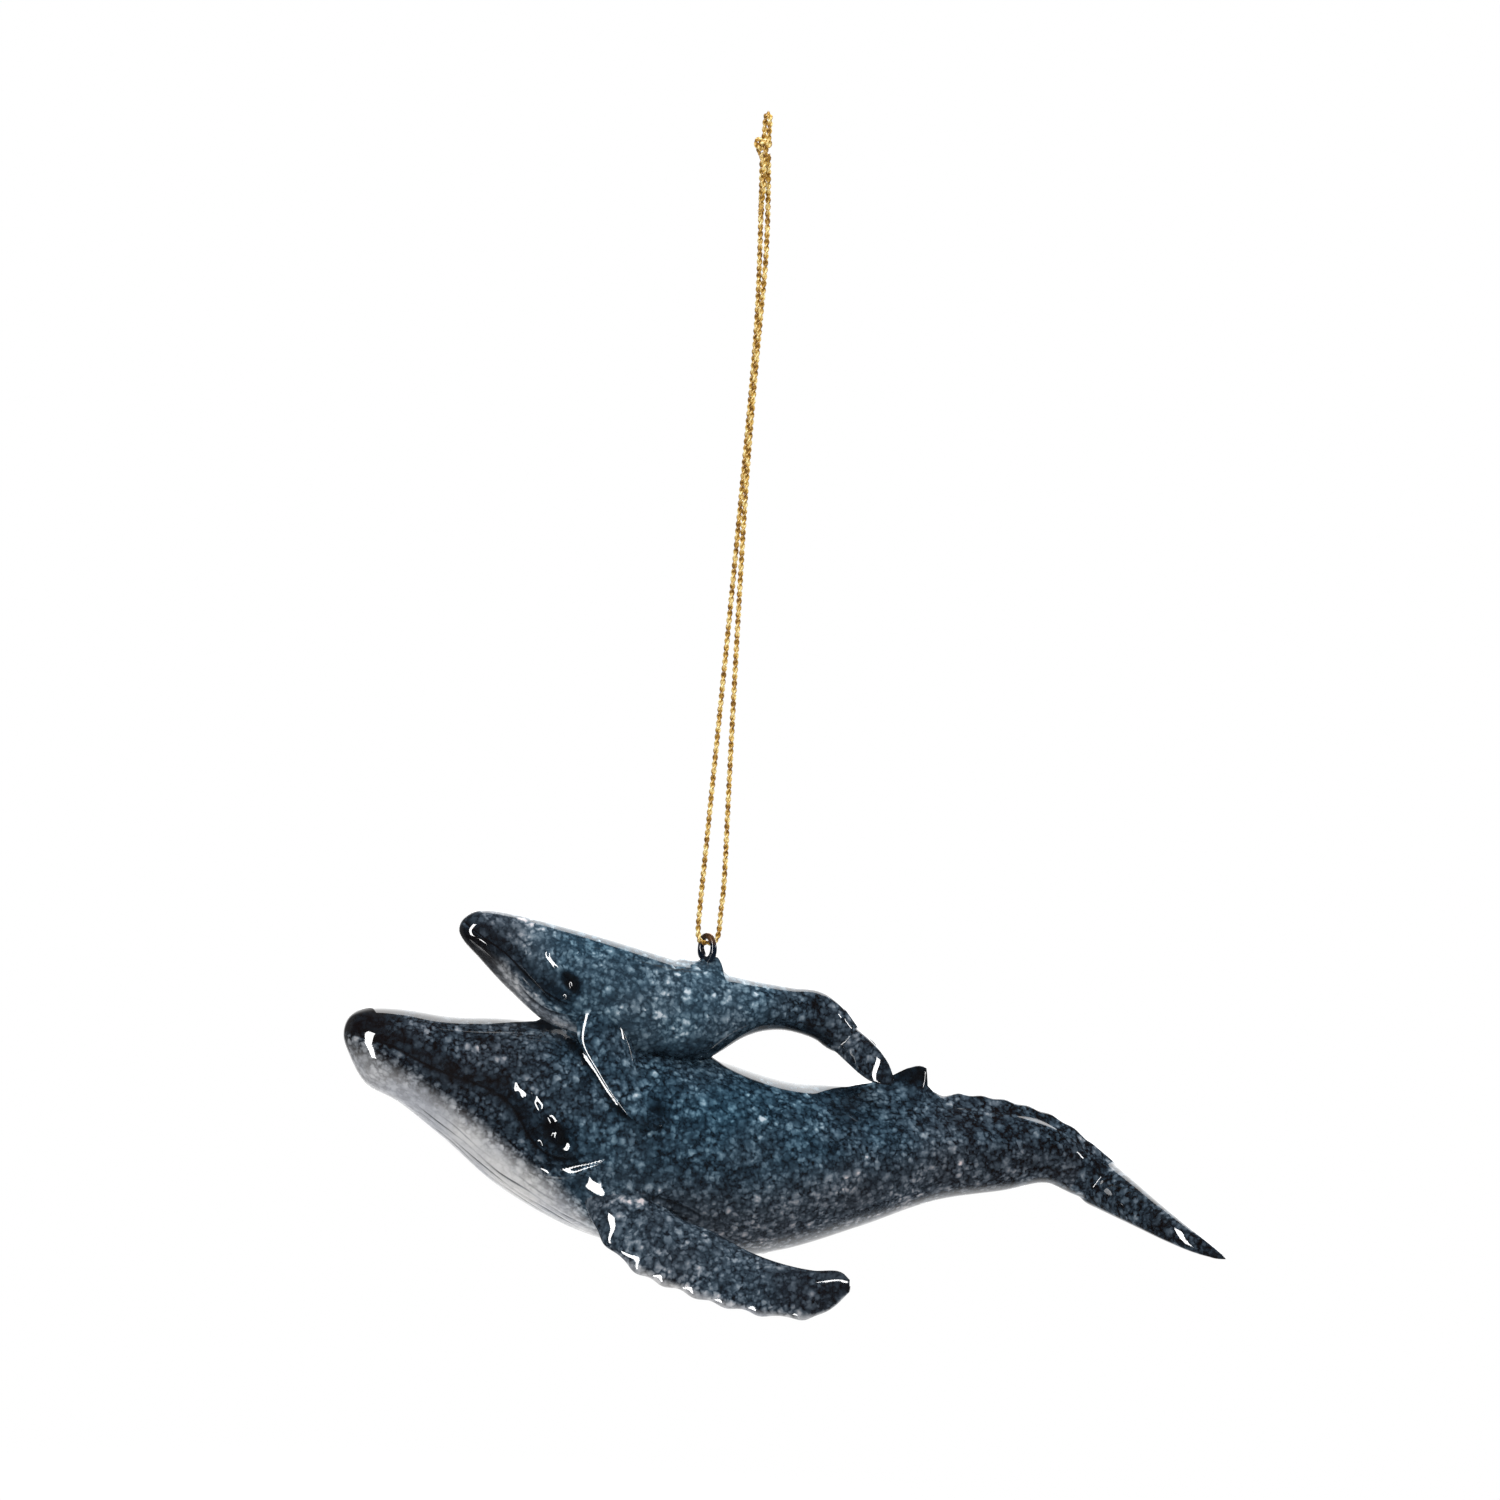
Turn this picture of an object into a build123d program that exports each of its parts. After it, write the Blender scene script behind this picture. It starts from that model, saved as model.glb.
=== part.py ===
from build123d import *
import math
import os

# Hanging ornament: a humpback whale with its calf on its back, cast in resin, hung by a gold cord.
# Millimetres. +Z is up along the plumb cord, the noses point to -X, the left sides face -Y.
# The origin is the inside of the small top loop, where a hook or a twig carries the cord.

# Driving sizes of the mother
MOTHER_LENGTH = 110.2
MOTHER_DEPTH = 30.0
MOTHER_WIDTH = 26.8
MOTHER_FLIPPER_LENGTH = 36.0
MOTHER_FLIPPER_THICKNESS = 5.0
MOTHER_FLUKE_SPAN = 37.0
MOTHER_FLUKE_CHORD = 21.2
MOTHER_FLUKE_THICKNESS = 7.0
MOTHER_FLUKE_TURN = 22.3
DORSAL_FIN_HEIGHT = 4.0
DORSAL_FIN_LENGTH = 8.0
DORSAL_FIN_THICKNESS = 2.2
DORSAL_FIN_AT_SHARE = 0.716
DORSAL_FIN_FOOT_SHARE = 0.19
DORSAL_FIN_ROOT_SHARE = 0.05

# Driving sizes of the calf
CALF_LENGTH = 56.6
CALF_DEPTH = 16.5
CALF_WIDTH = 14.4
CALF_FLIPPER_LENGTH = 18.0
CALF_FLIPPER_THICKNESS = 3.0
CALF_FLUKE_SPAN = 17.0
CALF_FLUKE_CHORD = 9.4
CALF_FLUKE_THICKNESS = 4.6
CALF_FLUKE_TURN = 32.0
CALF_SINK = 1.5
CALF_FIN_HEIGHT = 2.0
CALF_FIN_LENGTH = 3.6
CALF_FIN_THICKNESS = 1.8

# Wire eye and its seat in the calf's back
EYE_WIRE = 0.94
EYE_RING = 3.5
EYE_NECK = 0.7
EYE_TURN = 25.0
EYE_SHANK_LENGTH = 6.0

# Pegs, glue room and seats
GLUE_GAP = 0.1
PEG_DIAMETER = 2.0
PEG_LENGTH = 5.0
PEG_HOLD = 2.5
SEAT_PEG_DIAMETER = 4.0
SEAT_PEG_LENGTH = 5.0
FIN_ROOT_DEPTH = 3.0

# Gold cord: its drop from the top loop to the top of the eye, and its running room in the eye
CORD_DROP = 119.0
CORD_DIAMETER = 0.75
CORD_CLEARANCE = 0.15
CORD_BEND_RADIUS = 1.8
CORD_STRAIGHT = 2.5
CORD_ARC_SHARE = 0.45
KNOT_HEIGHT = 2.8
KNOT_DIAMETER = 2.6
KNOT_END_DIAMETER = 2.3
KNOT_GAP = 0.2
TOP_LOOP_HEIGHT = 2.9
TOP_LOOP_RADIUS = 0.6
TOP_LOOP_TURN = 40.0
TAIL_LENGTHS = (6.6, 7.8)
TAIL_OFFSET = 0.25

# Where the calf's back and the mother's back lie under the top of the eye
CALF_BACK_Z = -(EYE_RING + EYE_WIRE / 2 + EYE_NECK)
CALF_SEAT_SHARE = 0.836
MOTHER_BACK_Z = CALF_BACK_Z - CALF_SEAT_SHARE * CALF_DEPTH + CALF_SINK

# Seam of each side: this far below the widest line, so that it runs through the flipper roots
SIDE_SEAM_TURN = 30.0

# Stations from nose to tail joint: place along the length, back line above the seat, depth, width,
# lean of the foot of the section. All but the first are shares of the body's own sizes.
MOTHER_EYE_SHARE = 0.471
MOTHER_NOSE_SHARE = -0.003
MOTHER_STATIONS = [
    (0.008, 0.080, 0.178, 0.27, 0.0),
    (0.031, 0.125, 0.359, 0.43, 0.0),
    (0.081, 0.133, 0.463, 0.55, 0.0),
    (0.144, 0.110, 0.606, 0.63, 0.0),
    (0.217, 0.115, 0.821, 0.74, 0.0),
    (0.299, 0.095, 0.950, 0.88, 0.0),
    (0.389, 0.049, 1.000, 0.97, 0.0),
    (0.494, -0.025, 0.980, 1.00, 0.0),
    (0.598, -0.117, 0.829, 0.95, 0.0),
    (0.698, -0.135, 0.678, 0.83, 0.0),
    (0.798, -0.155, 0.512, 0.62, 0.0),
    (0.888, -0.183, 0.420, 0.46, 0.0),
    (0.952, -0.252, 0.305, 0.33, -0.02),
    (1.000, -0.356, 0.250, 0.27, -0.07),
]
CALF_EYE_SHARE = 0.640
CALF_NOSE_SHARE = 0.223
CALF_STATIONS = [
    (0.012, 0.323, 0.194, 0.28, 0.0),
    (0.053, 0.400, 0.412, 0.44, 0.0),
    (0.136, 0.388, 0.673, 0.64, 0.0),
    (0.242, 0.321, 0.890, 0.82, 0.0),
    (0.366, 0.230, 1.000, 0.94, 0.0),
    (0.498, 0.121, 0.994, 1.00, 0.0),
    (0.640, 0.000, 0.836, 0.92, 0.0),
    (0.763, -0.082, 0.540, 0.69, 0.0),
    (0.869, -0.135, 0.400, 0.49, 0.0),
    (0.949, -0.201, 0.358, 0.33, -0.03),
    (1.000, -0.334, 0.285, 0.26, -0.097),
]

# Flipper stations from shoulder to tip: front edge, rear edge (shares of the flipper's length
# from the shoulder, left side) and share of the thickness.
MOTHER_SHOULDER = (0.371, -0.60, -0.682)
MOTHER_FLIPPER = [
    ((-0.170, 0.000, 0.045), (0.167, 0.000, -0.036), 1.00),
    ((-0.110, -0.153, -0.092), (0.236, -0.125, -0.064), 0.92),
    ((0.025, -0.250, -0.222), (0.353, -0.180, -0.089), 0.80),
    ((0.250, -0.333, -0.306), (0.500, -0.250, -0.150), 0.64),
    ((0.494, -0.403, -0.356), (0.628, -0.333, -0.178), 0.52),
    ((0.697, -0.458, -0.364), (0.750, -0.403, -0.186), 0.44),
    ((0.833, -0.486, -0.311), (0.861, -0.458, -0.180), 0.32),
    ((0.886, -0.494, -0.250), (0.886, -0.490, -0.200), 0.16),
]
CALF_SHOULDER = (0.375, -0.62, -0.44)
CALF_FLIPPER = [
    ((-0.220, 0.000, 0.045), (0.195, 0.000, -0.040), 1.00),
    ((-0.195, -0.172, -0.178), (0.250, -0.110, -0.205), 0.87),
    ((-0.055, -0.295, -0.390), (0.305, -0.190, -0.345), 0.73),
    ((0.100, -0.405, -0.595), (0.410, -0.290, -0.500), 0.63),
    ((0.267, -0.472, -0.750), (0.510, -0.380, -0.650), 0.50),
    ((0.440, -0.500, -0.820), (0.522, -0.450, -0.761), 0.27),
]

# Fluke stations over half the span: share of the half span, front edge, rear edge, thickness.
FLUKE_STATIONS = [
    (0.00, 0.00, 0.55, 1.00),
    (0.25, 0.14, 0.66, 0.85),
    (0.50, 0.31, 0.77, 0.68),
    (0.75, 0.52, 0.88, 0.50),
    (0.92, 0.73, 0.96, 0.32),
    (1.00, 0.89, 1.00, 0.16),
]
FLUKE_STUB_SHARE = 0.28
FLUKE_STUB_HEIGHT_SHARE = 0.42

# Tip of a back fin: its place, length and thickness as shares of the fin's foot
FIN_TIP_AT_SHARE = 0.78
FIN_TIP_LENGTH_SHARE = 0.24
FIN_TIP_THICKNESS_SHARE = 0.5

# Strands of the cord from the eye to the knot: share of the height, then the offset in cord diameters
NEAR_STRAND = [
    (0.062, -2.00, -0.80),
    (0.177, -1.47, -0.53),
    (0.398, -0.40, 0.27),
    (0.601, 0.40, 0.80),
    (0.778, 0.93, 0.67),
    (0.902, 0.27, 0.13),
    (1.000, -0.60, 0.00),
]
FAR_STRAND = [
    (0.062, 2.53, 0.93),
    (0.177, 2.00, 0.53),
    (0.398, 1.27, -0.27),
    (0.601, 0.80, -0.67),
    (0.778, 1.20, -0.67),
    (0.902, 1.73, -0.40),
    (1.000, 0.60, 0.00),
]


def body_point(length, eye_at, along, height):
    """A point on the middle plane of a body, from its share of the length."""
    return Vector((along - eye_at) * length, 0, height)


def oval(plane, half_width, half_height):
    """Ellipse in four arcs, which meet at its top, at its foot and at the seam of each side."""
    seams = (-SIDE_SEAM_TURN, 90, 180 + SIDE_SEAM_TURN, 270, 360 - SIDE_SEAM_TURN)
    arcs = []
    for start, end in zip(seams, seams[1:]):
        arcs.append(EllipticalCenterArc((0, 0), half_width, half_height, start, arc_size=end - start))
    return plane * make_face(Wire(arcs))


def cross_section(top, foot, half_width, grow):
    """Oval across a body, between its back and its belly."""
    up = (top - foot).normalized()
    half = (top - foot).length / 2
    plane = Plane(origin=(top + foot) * 0.5, x_dir=(0, 1, 0), z_dir=Vector(0, 1, 0).cross(up))
    return oval(plane, half_width + grow, half + grow)


def whale_body(length, depth, width, eye_at, back_z, nose_rise, stations, grow=0.0):
    """Loft from the tip of the nose through the stations to the flat tail joint."""
    nose = body_point(length, eye_at, 0, back_z + nose_rise * depth)
    sections = [Vertex(nose.X - grow, nose.Y, nose.Z)]
    for along, rise, deep, wide, lean in stations:
        top = body_point(length, eye_at, along, back_z + rise * depth)
        foot = top + Vector(lean * depth, 0, -deep * depth)
        sections.append(cross_section(top, foot, wide * width / 2, grow))
    return loft(sections)


def tail_joint(length, depth, eye_at, back_z, stations):
    """Middle, back-to-front direction and half height of the flat face at the tail's end."""
    along, rise, deep, _, lean = stations[-1]
    top = body_point(length, eye_at, along, back_z + rise * depth)
    foot = top + Vector(lean * depth, 0, -deep * depth)
    up = (top - foot).normalized()
    return (top + foot) * 0.5, Vector(0, 1, 0).cross(up), (top - foot).length / 2


def lens(plane, half_chord, half_thickness):
    """Closed outline of two arcs that meet at a front and a rear edge."""
    upper = ThreePointArc((half_chord, 0), (0, half_thickness), (-half_chord, 0))
    lower = ThreePointArc((-half_chord, 0), (0, -half_thickness), (half_chord, 0))
    return plane * make_face(Wire([upper, lower]))


def blade_section(front, rear, axis, thickness, grow):
    """Lens across a flipper, from its front edge to its rear edge."""
    chord = (rear - front).normalized()
    middle = (front + rear) * 0.5
    across = (axis - chord * axis.dot(chord)).normalized()
    plane = Plane(origin=middle, x_dir=chord, z_dir=across)
    return lens(plane, (rear - front).length / 2 + grow, thickness / 2 + grow)


def flipper(shoulder, length, thickness, stations, grow=0.0):
    """Left flipper, plugged into the body at the shoulder and swept back to its tip."""
    fronts = [shoulder + Vector(*front) * length for front, _, _ in stations]
    rears = [shoulder + Vector(*rear) * length for _, rear, _ in stations]
    middles = [(front + rear) * 0.5 for front, rear in zip(fronts, rears)]
    root_axis = (middles[1] - middles[0]).normalized()
    sections = []
    for place, (_, _, share) in enumerate(stations):
        before = middles[max(place - 1, 0)]
        after = middles[min(place + 1, len(stations) - 1)]
        sections.append(blade_section(fronts[place], rears[place], after - before, share * thickness, grow))
    root_face = blade_section(fronts[0], rears[0], middles[1] - middles[0], thickness, grow)
    tenon = extrude(root_face, amount=FIN_ROOT_DEPTH + grow, dir=-root_axis)
    return loft(sections) + tenon


def flukes(middle, heading, half_height, half_width, span, chord, thickness, pitch):
    """Tail flukes: one blade over the whole span, on a stub that carries on the tail stock."""
    back = Vector(math.cos(math.radians(pitch)), 0, -math.sin(math.radians(pitch)))
    sections = []
    for side in (-1, 1):
        rows = FLUKE_STATIONS[::-1] if side < 0 else FLUKE_STATIONS[1:]
        for share, front, rear, thick in rows:
            edge = middle + Vector(0, side * share * span / 2, 0)
            centre = edge + back * ((front + rear) * chord / 2)
            plane = Plane(origin=centre, x_dir=back, z_dir=(0, 1, 0))
            sections.append(lens(plane, (rear - front) * chord / 2, thick * thickness / 2))
    blade = loft(sections)
    joint = Plane(origin=middle, x_dir=(0, 1, 0), z_dir=heading)
    inner = Plane(origin=middle + back * (FLUKE_STUB_SHARE * chord), x_dir=(0, 1, 0), z_dir=back)
    start = oval(joint, half_width, half_height)
    end = oval(inner, half_width, FLUKE_STUB_HEIGHT_SHARE * thickness)
    stub = loft([start, end])
    behind = Plane(origin=middle - heading * span, x_dir=(0, 1, 0), z_dir=heading)
    clear = extrude(behind * Rectangle(2 * span, 2 * span), amount=span)
    peg = Plane(origin=middle - heading * PEG_LENGTH, z_dir=heading) * peg_rod(PEG_LENGTH + PEG_HOLD, 0)
    return (blade - clear) + stub + peg


def peg_rod(length, grow):
    """Round peg from its own origin along its own axis."""
    return Cylinder(PEG_DIAMETER / 2 + grow, length, align=(Align.CENTER, Align.CENTER, Align.MIN))


def peg_socket(middle, heading):
    """Hole for the fluke peg, with glue room round it and at its end."""
    depth = PEG_LENGTH + GLUE_GAP
    return Plane(origin=middle - heading * depth, z_dir=heading) * peg_rod(depth + GLUE_GAP, GLUE_GAP)


def back_fin(front_x, foot_z, length, height, thickness):
    """Small dorsal fin: a raked blade that leans back, thinner at its tip."""
    foot = Plane(origin=(front_x + length / 2, 0, foot_z))
    tip = Plane(origin=(front_x + FIN_TIP_AT_SHARE * length, 0, foot_z + height))
    lower = lens(foot, length / 2, thickness / 2)
    upper = lens(tip, FIN_TIP_LENGTH_SHARE * length / 2, FIN_TIP_THICKNESS_SHARE * thickness / 2)
    return loft([lower, upper])


def mirrored(shape):
    """The same piece on the right side."""
    return mirror(shape, about=Plane.XZ)


# Mother: body, flippers and flukes
mother_solid = whale_body(
    MOTHER_LENGTH, MOTHER_DEPTH, MOTHER_WIDTH, MOTHER_EYE_SHARE, MOTHER_BACK_Z, MOTHER_NOSE_SHARE,
    MOTHER_STATIONS,
)
mother_grown = whale_body(
    MOTHER_LENGTH, MOTHER_DEPTH, MOTHER_WIDTH, MOTHER_EYE_SHARE, MOTHER_BACK_Z, MOTHER_NOSE_SHARE,
    MOTHER_STATIONS, GLUE_GAP,
)
mother_shoulder = Vector(
    (MOTHER_SHOULDER[0] - MOTHER_EYE_SHARE) * MOTHER_LENGTH,
    MOTHER_SHOULDER[1] * MOTHER_WIDTH / 2,
    MOTHER_BACK_Z + MOTHER_SHOULDER[2] * MOTHER_DEPTH,
)
mother_flipper = flipper(mother_shoulder, MOTHER_FLIPPER_LENGTH, MOTHER_FLIPPER_THICKNESS, MOTHER_FLIPPER)
mother_flipper_socket = flipper(
    mother_shoulder, MOTHER_FLIPPER_LENGTH, MOTHER_FLIPPER_THICKNESS, MOTHER_FLIPPER, GLUE_GAP
)
mother_tail, mother_heading, mother_tail_half = tail_joint(
    MOTHER_LENGTH, MOTHER_DEPTH, MOTHER_EYE_SHARE, MOTHER_BACK_Z, MOTHER_STATIONS
)
mother_flukes = flukes(
    mother_tail, mother_heading, mother_tail_half, MOTHER_STATIONS[-1][3] * MOTHER_WIDTH / 2,
    MOTHER_FLUKE_SPAN, MOTHER_FLUKE_CHORD, MOTHER_FLUKE_THICKNESS, MOTHER_FLUKE_TURN,
)
dorsal_front = (DORSAL_FIN_AT_SHARE - MOTHER_EYE_SHARE) * MOTHER_LENGTH
dorsal_foot = MOTHER_BACK_Z - DORSAL_FIN_FOOT_SHARE * MOTHER_DEPTH
dorsal_rise = DORSAL_FIN_HEIGHT + DORSAL_FIN_ROOT_SHARE * MOTHER_DEPTH
dorsal_fin = back_fin(dorsal_front, dorsal_foot, DORSAL_FIN_LENGTH, dorsal_rise, DORSAL_FIN_THICKNESS)

# Calf: body, flippers and flukes
calf_solid = whale_body(
    CALF_LENGTH, CALF_DEPTH, CALF_WIDTH, CALF_EYE_SHARE, CALF_BACK_Z, CALF_NOSE_SHARE, CALF_STATIONS
)
calf_shoulder = Vector(
    (CALF_SHOULDER[0] - CALF_EYE_SHARE) * CALF_LENGTH,
    CALF_SHOULDER[1] * CALF_WIDTH / 2,
    CALF_BACK_Z + CALF_SHOULDER[2] * CALF_DEPTH,
)
calf_flipper = flipper(calf_shoulder, CALF_FLIPPER_LENGTH, CALF_FLIPPER_THICKNESS, CALF_FLIPPER)
calf_flipper_socket = flipper(
    calf_shoulder, CALF_FLIPPER_LENGTH, CALF_FLIPPER_THICKNESS, CALF_FLIPPER, GLUE_GAP
)
calf_tail, calf_heading, calf_tail_half = tail_joint(
    CALF_LENGTH, CALF_DEPTH, CALF_EYE_SHARE, CALF_BACK_Z, CALF_STATIONS
)
calf_flukes = flukes(
    calf_tail, calf_heading, calf_tail_half, CALF_STATIONS[-1][3] * CALF_WIDTH / 2,
    CALF_FLUKE_SPAN, CALF_FLUKE_CHORD, CALF_FLUKE_THICKNESS, CALF_FLUKE_TURN,
)
calf_fin = back_fin(
    -EYE_WIRE / 2, CALF_BACK_Z - CALF_FIN_HEIGHT, CALF_FIN_LENGTH, 2 * CALF_FIN_HEIGHT, CALF_FIN_THICKNESS
)
seat_x = (CALF_STATIONS[5][0] - CALF_EYE_SHARE) * CALF_LENGTH
seat_z = MOTHER_BACK_Z - SEAT_PEG_LENGTH
seat_peg = Pos(seat_x, 0, seat_z) * Cylinder(
    SEAT_PEG_DIAMETER / 2, 2 * SEAT_PEG_LENGTH, align=(Align.CENTER, Align.CENTER, Align.MIN)
)
seat_socket = Pos(seat_x, 0, seat_z - GLUE_GAP) * Cylinder(
    SEAT_PEG_DIAMETER / 2 + GLUE_GAP, 2 * SEAT_PEG_LENGTH, align=(Align.CENTER, Align.CENTER, Align.MIN)
)

# Wire eye: a ring in an upright plane turned about the cord, on a straight shank
hole_axis = Vector(-math.cos(math.radians(EYE_TURN)), -math.sin(math.radians(EYE_TURN)), 0)
wire_axis = Vector(0, 0, 1).cross(hole_axis)
ring_plane = Plane(origin=(0, 0, -EYE_RING / 2), x_dir=wire_axis, z_dir=hole_axis)
ring = ring_plane * Torus(EYE_RING / 2, EYE_WIRE / 2)
shank = Pos(0, 0, -EYE_RING - EYE_SHANK_LENGTH) * Cylinder(
    EYE_WIRE / 2, EYE_SHANK_LENGTH, align=(Align.CENTER, Align.CENTER, Align.MIN)
)
screw_eye = ring + shank
eye_hole = Pos(0, 0, -EYE_RING - EYE_SHANK_LENGTH - GLUE_GAP) * Cylinder(
    EYE_WIRE / 2 + GLUE_GAP, 2 * EYE_SHANK_LENGTH, align=(Align.CENTER, Align.CENTER, Align.MIN)
)
ring_seat = ring_plane * Torus(EYE_RING / 2, EYE_WIRE / 2 + GLUE_GAP)

# Castings, cut to fit one another
mother_body = mother_solid + dorsal_fin
mother_body -= mother_flipper_socket
mother_body -= mirrored(mother_flipper_socket)
mother_body -= peg_socket(mother_tail, mother_heading)
mother_body -= seat_socket
calf_body = calf_solid + calf_fin
calf_body -= mother_grown
calf_body -= calf_flipper_socket
calf_body -= mirrored(calf_flipper_socket)
calf_body -= peg_socket(calf_tail, calf_heading)
calf_body += seat_peg
calf_body -= eye_hole
calf_body -= ring_seat
calf_flipper -= mother_grown

# Gold cord, as one line through the eye: both strands run from the eye to the underside of the knot
bend = EYE_WIRE / 2 + CORD_CLEARANCE + CORD_DIAMETER / 2
knot_foot = CORD_DROP - TOP_LOOP_HEIGHT - KNOT_HEIGHT
bend_rise = Vector(0, 0, CORD_BEND_RADIUS - bend)
near_end = bend_rise + hole_axis * CORD_BEND_RADIUS
far_end = bend_rise - hole_axis * CORD_BEND_RADIUS


def strand_line(end, stations):
    """One strand: straight out of the eye, then straight runs joined by arcs as large as the runs allow."""
    places = [end, end + Vector(0, 0, CORD_STRAIGHT)]
    for share, side, depth in stations:
        places.append(Vector(side * CORD_DIAMETER, depth * CORD_DIAMETER, share * (knot_foot - KNOT_GAP)))
    runs = [after - before for before, after in zip(places, places[1:])]
    radii = []
    for first, second in zip(runs, runs[1:]):
        turn = math.radians(first.get_angle(second))
        radii.append(CORD_ARC_SHARE * min(first.length, second.length) / math.tan(turn / 2))
    print("cord radii", [round(radius, 1) for radius in radii])
    return FilletPolyline(*places, radius=radii)


near_line = strand_line(near_end, NEAR_STRAND)
far_line = strand_line(far_end, FAR_STRAND)
bend_line = ThreePointArc(near_end, Vector(0, 0, -bend), far_end)
cord_line = Wire(near_line.edges() + bend_line.edges() + far_line.edges())
cord_section = Plane(origin=near_line @ 1, z_dir=near_line % 1) * Circle(CORD_DIAMETER / 2)
hanging_cord = sweep(cord_section, path=cord_line)
print("cord volume", hanging_cord.volume, "from its length", cord_line.length * cord_section.area)
print("cord length", cord_line.length)

# Knot, the small loop above it and the two cut ends below it
knot_top = knot_foot + KNOT_HEIGHT
knot_belly = ThreePointArc(
    (KNOT_END_DIAMETER / 2, 0, knot_foot),
    (KNOT_DIAMETER / 2, 0, knot_foot + KNOT_HEIGHT / 2),
    (KNOT_END_DIAMETER / 2, 0, knot_top),
)
knot_core = Polyline(knot_belly @ 1, (0, 0, knot_top), (0, 0, knot_foot), knot_belly @ 0)
cord_knot = revolve(make_face(Wire(knot_belly.edges() + knot_core.edges())), axis=Axis.Z)

loop_side = Vector(math.cos(math.radians(TOP_LOOP_TURN)), -math.sin(math.radians(TOP_LOOP_TURN)), 0)
loop_left = loop_side * -TOP_LOOP_RADIUS
loop_right = loop_side * TOP_LOOP_RADIUS
loop_apex = Vector(0, 0, CORD_DROP + CORD_DIAMETER / 2)
loop_spring = Vector(0, 0, loop_apex.Z - TOP_LOOP_RADIUS)
loop_foot = Vector(0, 0, knot_top)
loop_rise = Line(loop_left + loop_foot, loop_left + loop_spring)
loop_bow = ThreePointArc(loop_left + loop_spring, loop_apex, loop_right + loop_spring)
loop_fall = Line(loop_right + loop_spring, loop_right + loop_foot)
loop_line = Wire(loop_rise.edges() + loop_bow.edges() + loop_fall.edges())
cord_top_loop = sweep(Plane(origin=loop_rise @ 0) * Circle(CORD_DIAMETER / 2), path=loop_line)

tail_reach = (KNOT_END_DIAMETER - CORD_DIAMETER) / 2
cord_tails = []
for side, tail_length in zip((-1, 1), TAIL_LENGTHS):
    tail_head = Vector(0, side * tail_reach, knot_foot - KNOT_GAP)
    tail_tip = tail_head + Vector(0, side * TAIL_OFFSET, -tail_length)
    tail_line = Line(tail_head, tail_tip)
    tail_section = Plane(origin=tail_head, z_dir=tail_line % 0) * Circle(CORD_DIAMETER / 2)
    cord_tails.append(sweep(tail_section, path=tail_line))

parts = {
    "mother_body": mother_body,
    "mother_left_flipper": mother_flipper,
    "mother_right_flipper": mirrored(mother_flipper),
    "mother_flukes": mother_flukes,
    "calf_body": calf_body,
    "calf_left_flipper": calf_flipper,
    "calf_right_flipper": mirrored(calf_flipper),
    "calf_flukes": calf_flukes,
    "screw_eye": screw_eye,
    "hanging_cord": hanging_cord,
    "cord_tails": Compound(cord_tails),
    "cord_knot": cord_knot,
    "cord_top_loop": cord_top_loop,
}
os.makedirs("parts", exist_ok=True)
for name, shape in parts.items():
    export_step(Pos(0, 0, -CORD_DROP) * shape, f"parts/{name}.step")
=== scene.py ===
import math
import bmesh
import bpy
import numpy as np
from mathutils import Matrix, Vector


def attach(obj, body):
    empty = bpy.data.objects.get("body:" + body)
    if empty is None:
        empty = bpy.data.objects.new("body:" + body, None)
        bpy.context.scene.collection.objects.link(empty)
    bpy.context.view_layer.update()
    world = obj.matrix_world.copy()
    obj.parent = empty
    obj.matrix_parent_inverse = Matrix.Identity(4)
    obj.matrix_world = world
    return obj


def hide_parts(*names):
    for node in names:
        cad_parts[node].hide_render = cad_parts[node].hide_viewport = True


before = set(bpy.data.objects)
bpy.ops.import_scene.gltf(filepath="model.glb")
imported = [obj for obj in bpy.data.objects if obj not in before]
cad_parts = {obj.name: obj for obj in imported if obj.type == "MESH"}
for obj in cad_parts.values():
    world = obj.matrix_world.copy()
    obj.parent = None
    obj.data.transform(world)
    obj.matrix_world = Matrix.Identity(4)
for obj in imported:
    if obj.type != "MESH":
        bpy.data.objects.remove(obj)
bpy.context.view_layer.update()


# Mother's body: a solid resin casting from the nose to the tail joint, with its back fin and the
# knuckles of its tail cast on. It is sponged in blue-grey over navy, its creases are painted dark, a
# painted shadow lies below the edge of the calf's flipper on its flank, and the whole is dipped in
# clear gloss lacquer. Shapes are in millimetres from the top of the eye ring.
MOTHER_LENGTH = 110.2
MOTHER_DEPTH = 30.0
MOTHER_WIDTH = 26.8
MOTHER_BACK = -16.96
MOTHER_EYE_SHARE = 0.471
MOTHER_STATIONS = [
    (0.0, -0.003, 0.0, 0.0, 0.0),
    (0.008, 0.080, 0.178, 0.27, 0.0),
    (0.031, 0.125, 0.359, 0.43, 0.0),
    (0.081, 0.133, 0.463, 0.55, 0.0),
    (0.144, 0.110, 0.606, 0.63, 0.0),
    (0.217, 0.115, 0.821, 0.74, 0.0),
    (0.299, 0.095, 0.950, 0.88, 0.0),
    (0.389, 0.049, 1.000, 0.97, 0.0),
    (0.494, -0.025, 0.980, 1.00, 0.0),
    (0.598, -0.117, 0.829, 0.95, 0.0),
    (0.698, -0.135, 0.678, 0.83, 0.0),
    (0.798, -0.155, 0.512, 0.62, 0.0),
    (0.888, -0.183, 0.420, 0.46, 0.0),
    (0.952, -0.252, 0.305, 0.33, -0.02),
    (1.000, -0.356, 0.250, 0.27, -0.07),
]
EYE_RING_HEIGHT = -0.119


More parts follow.
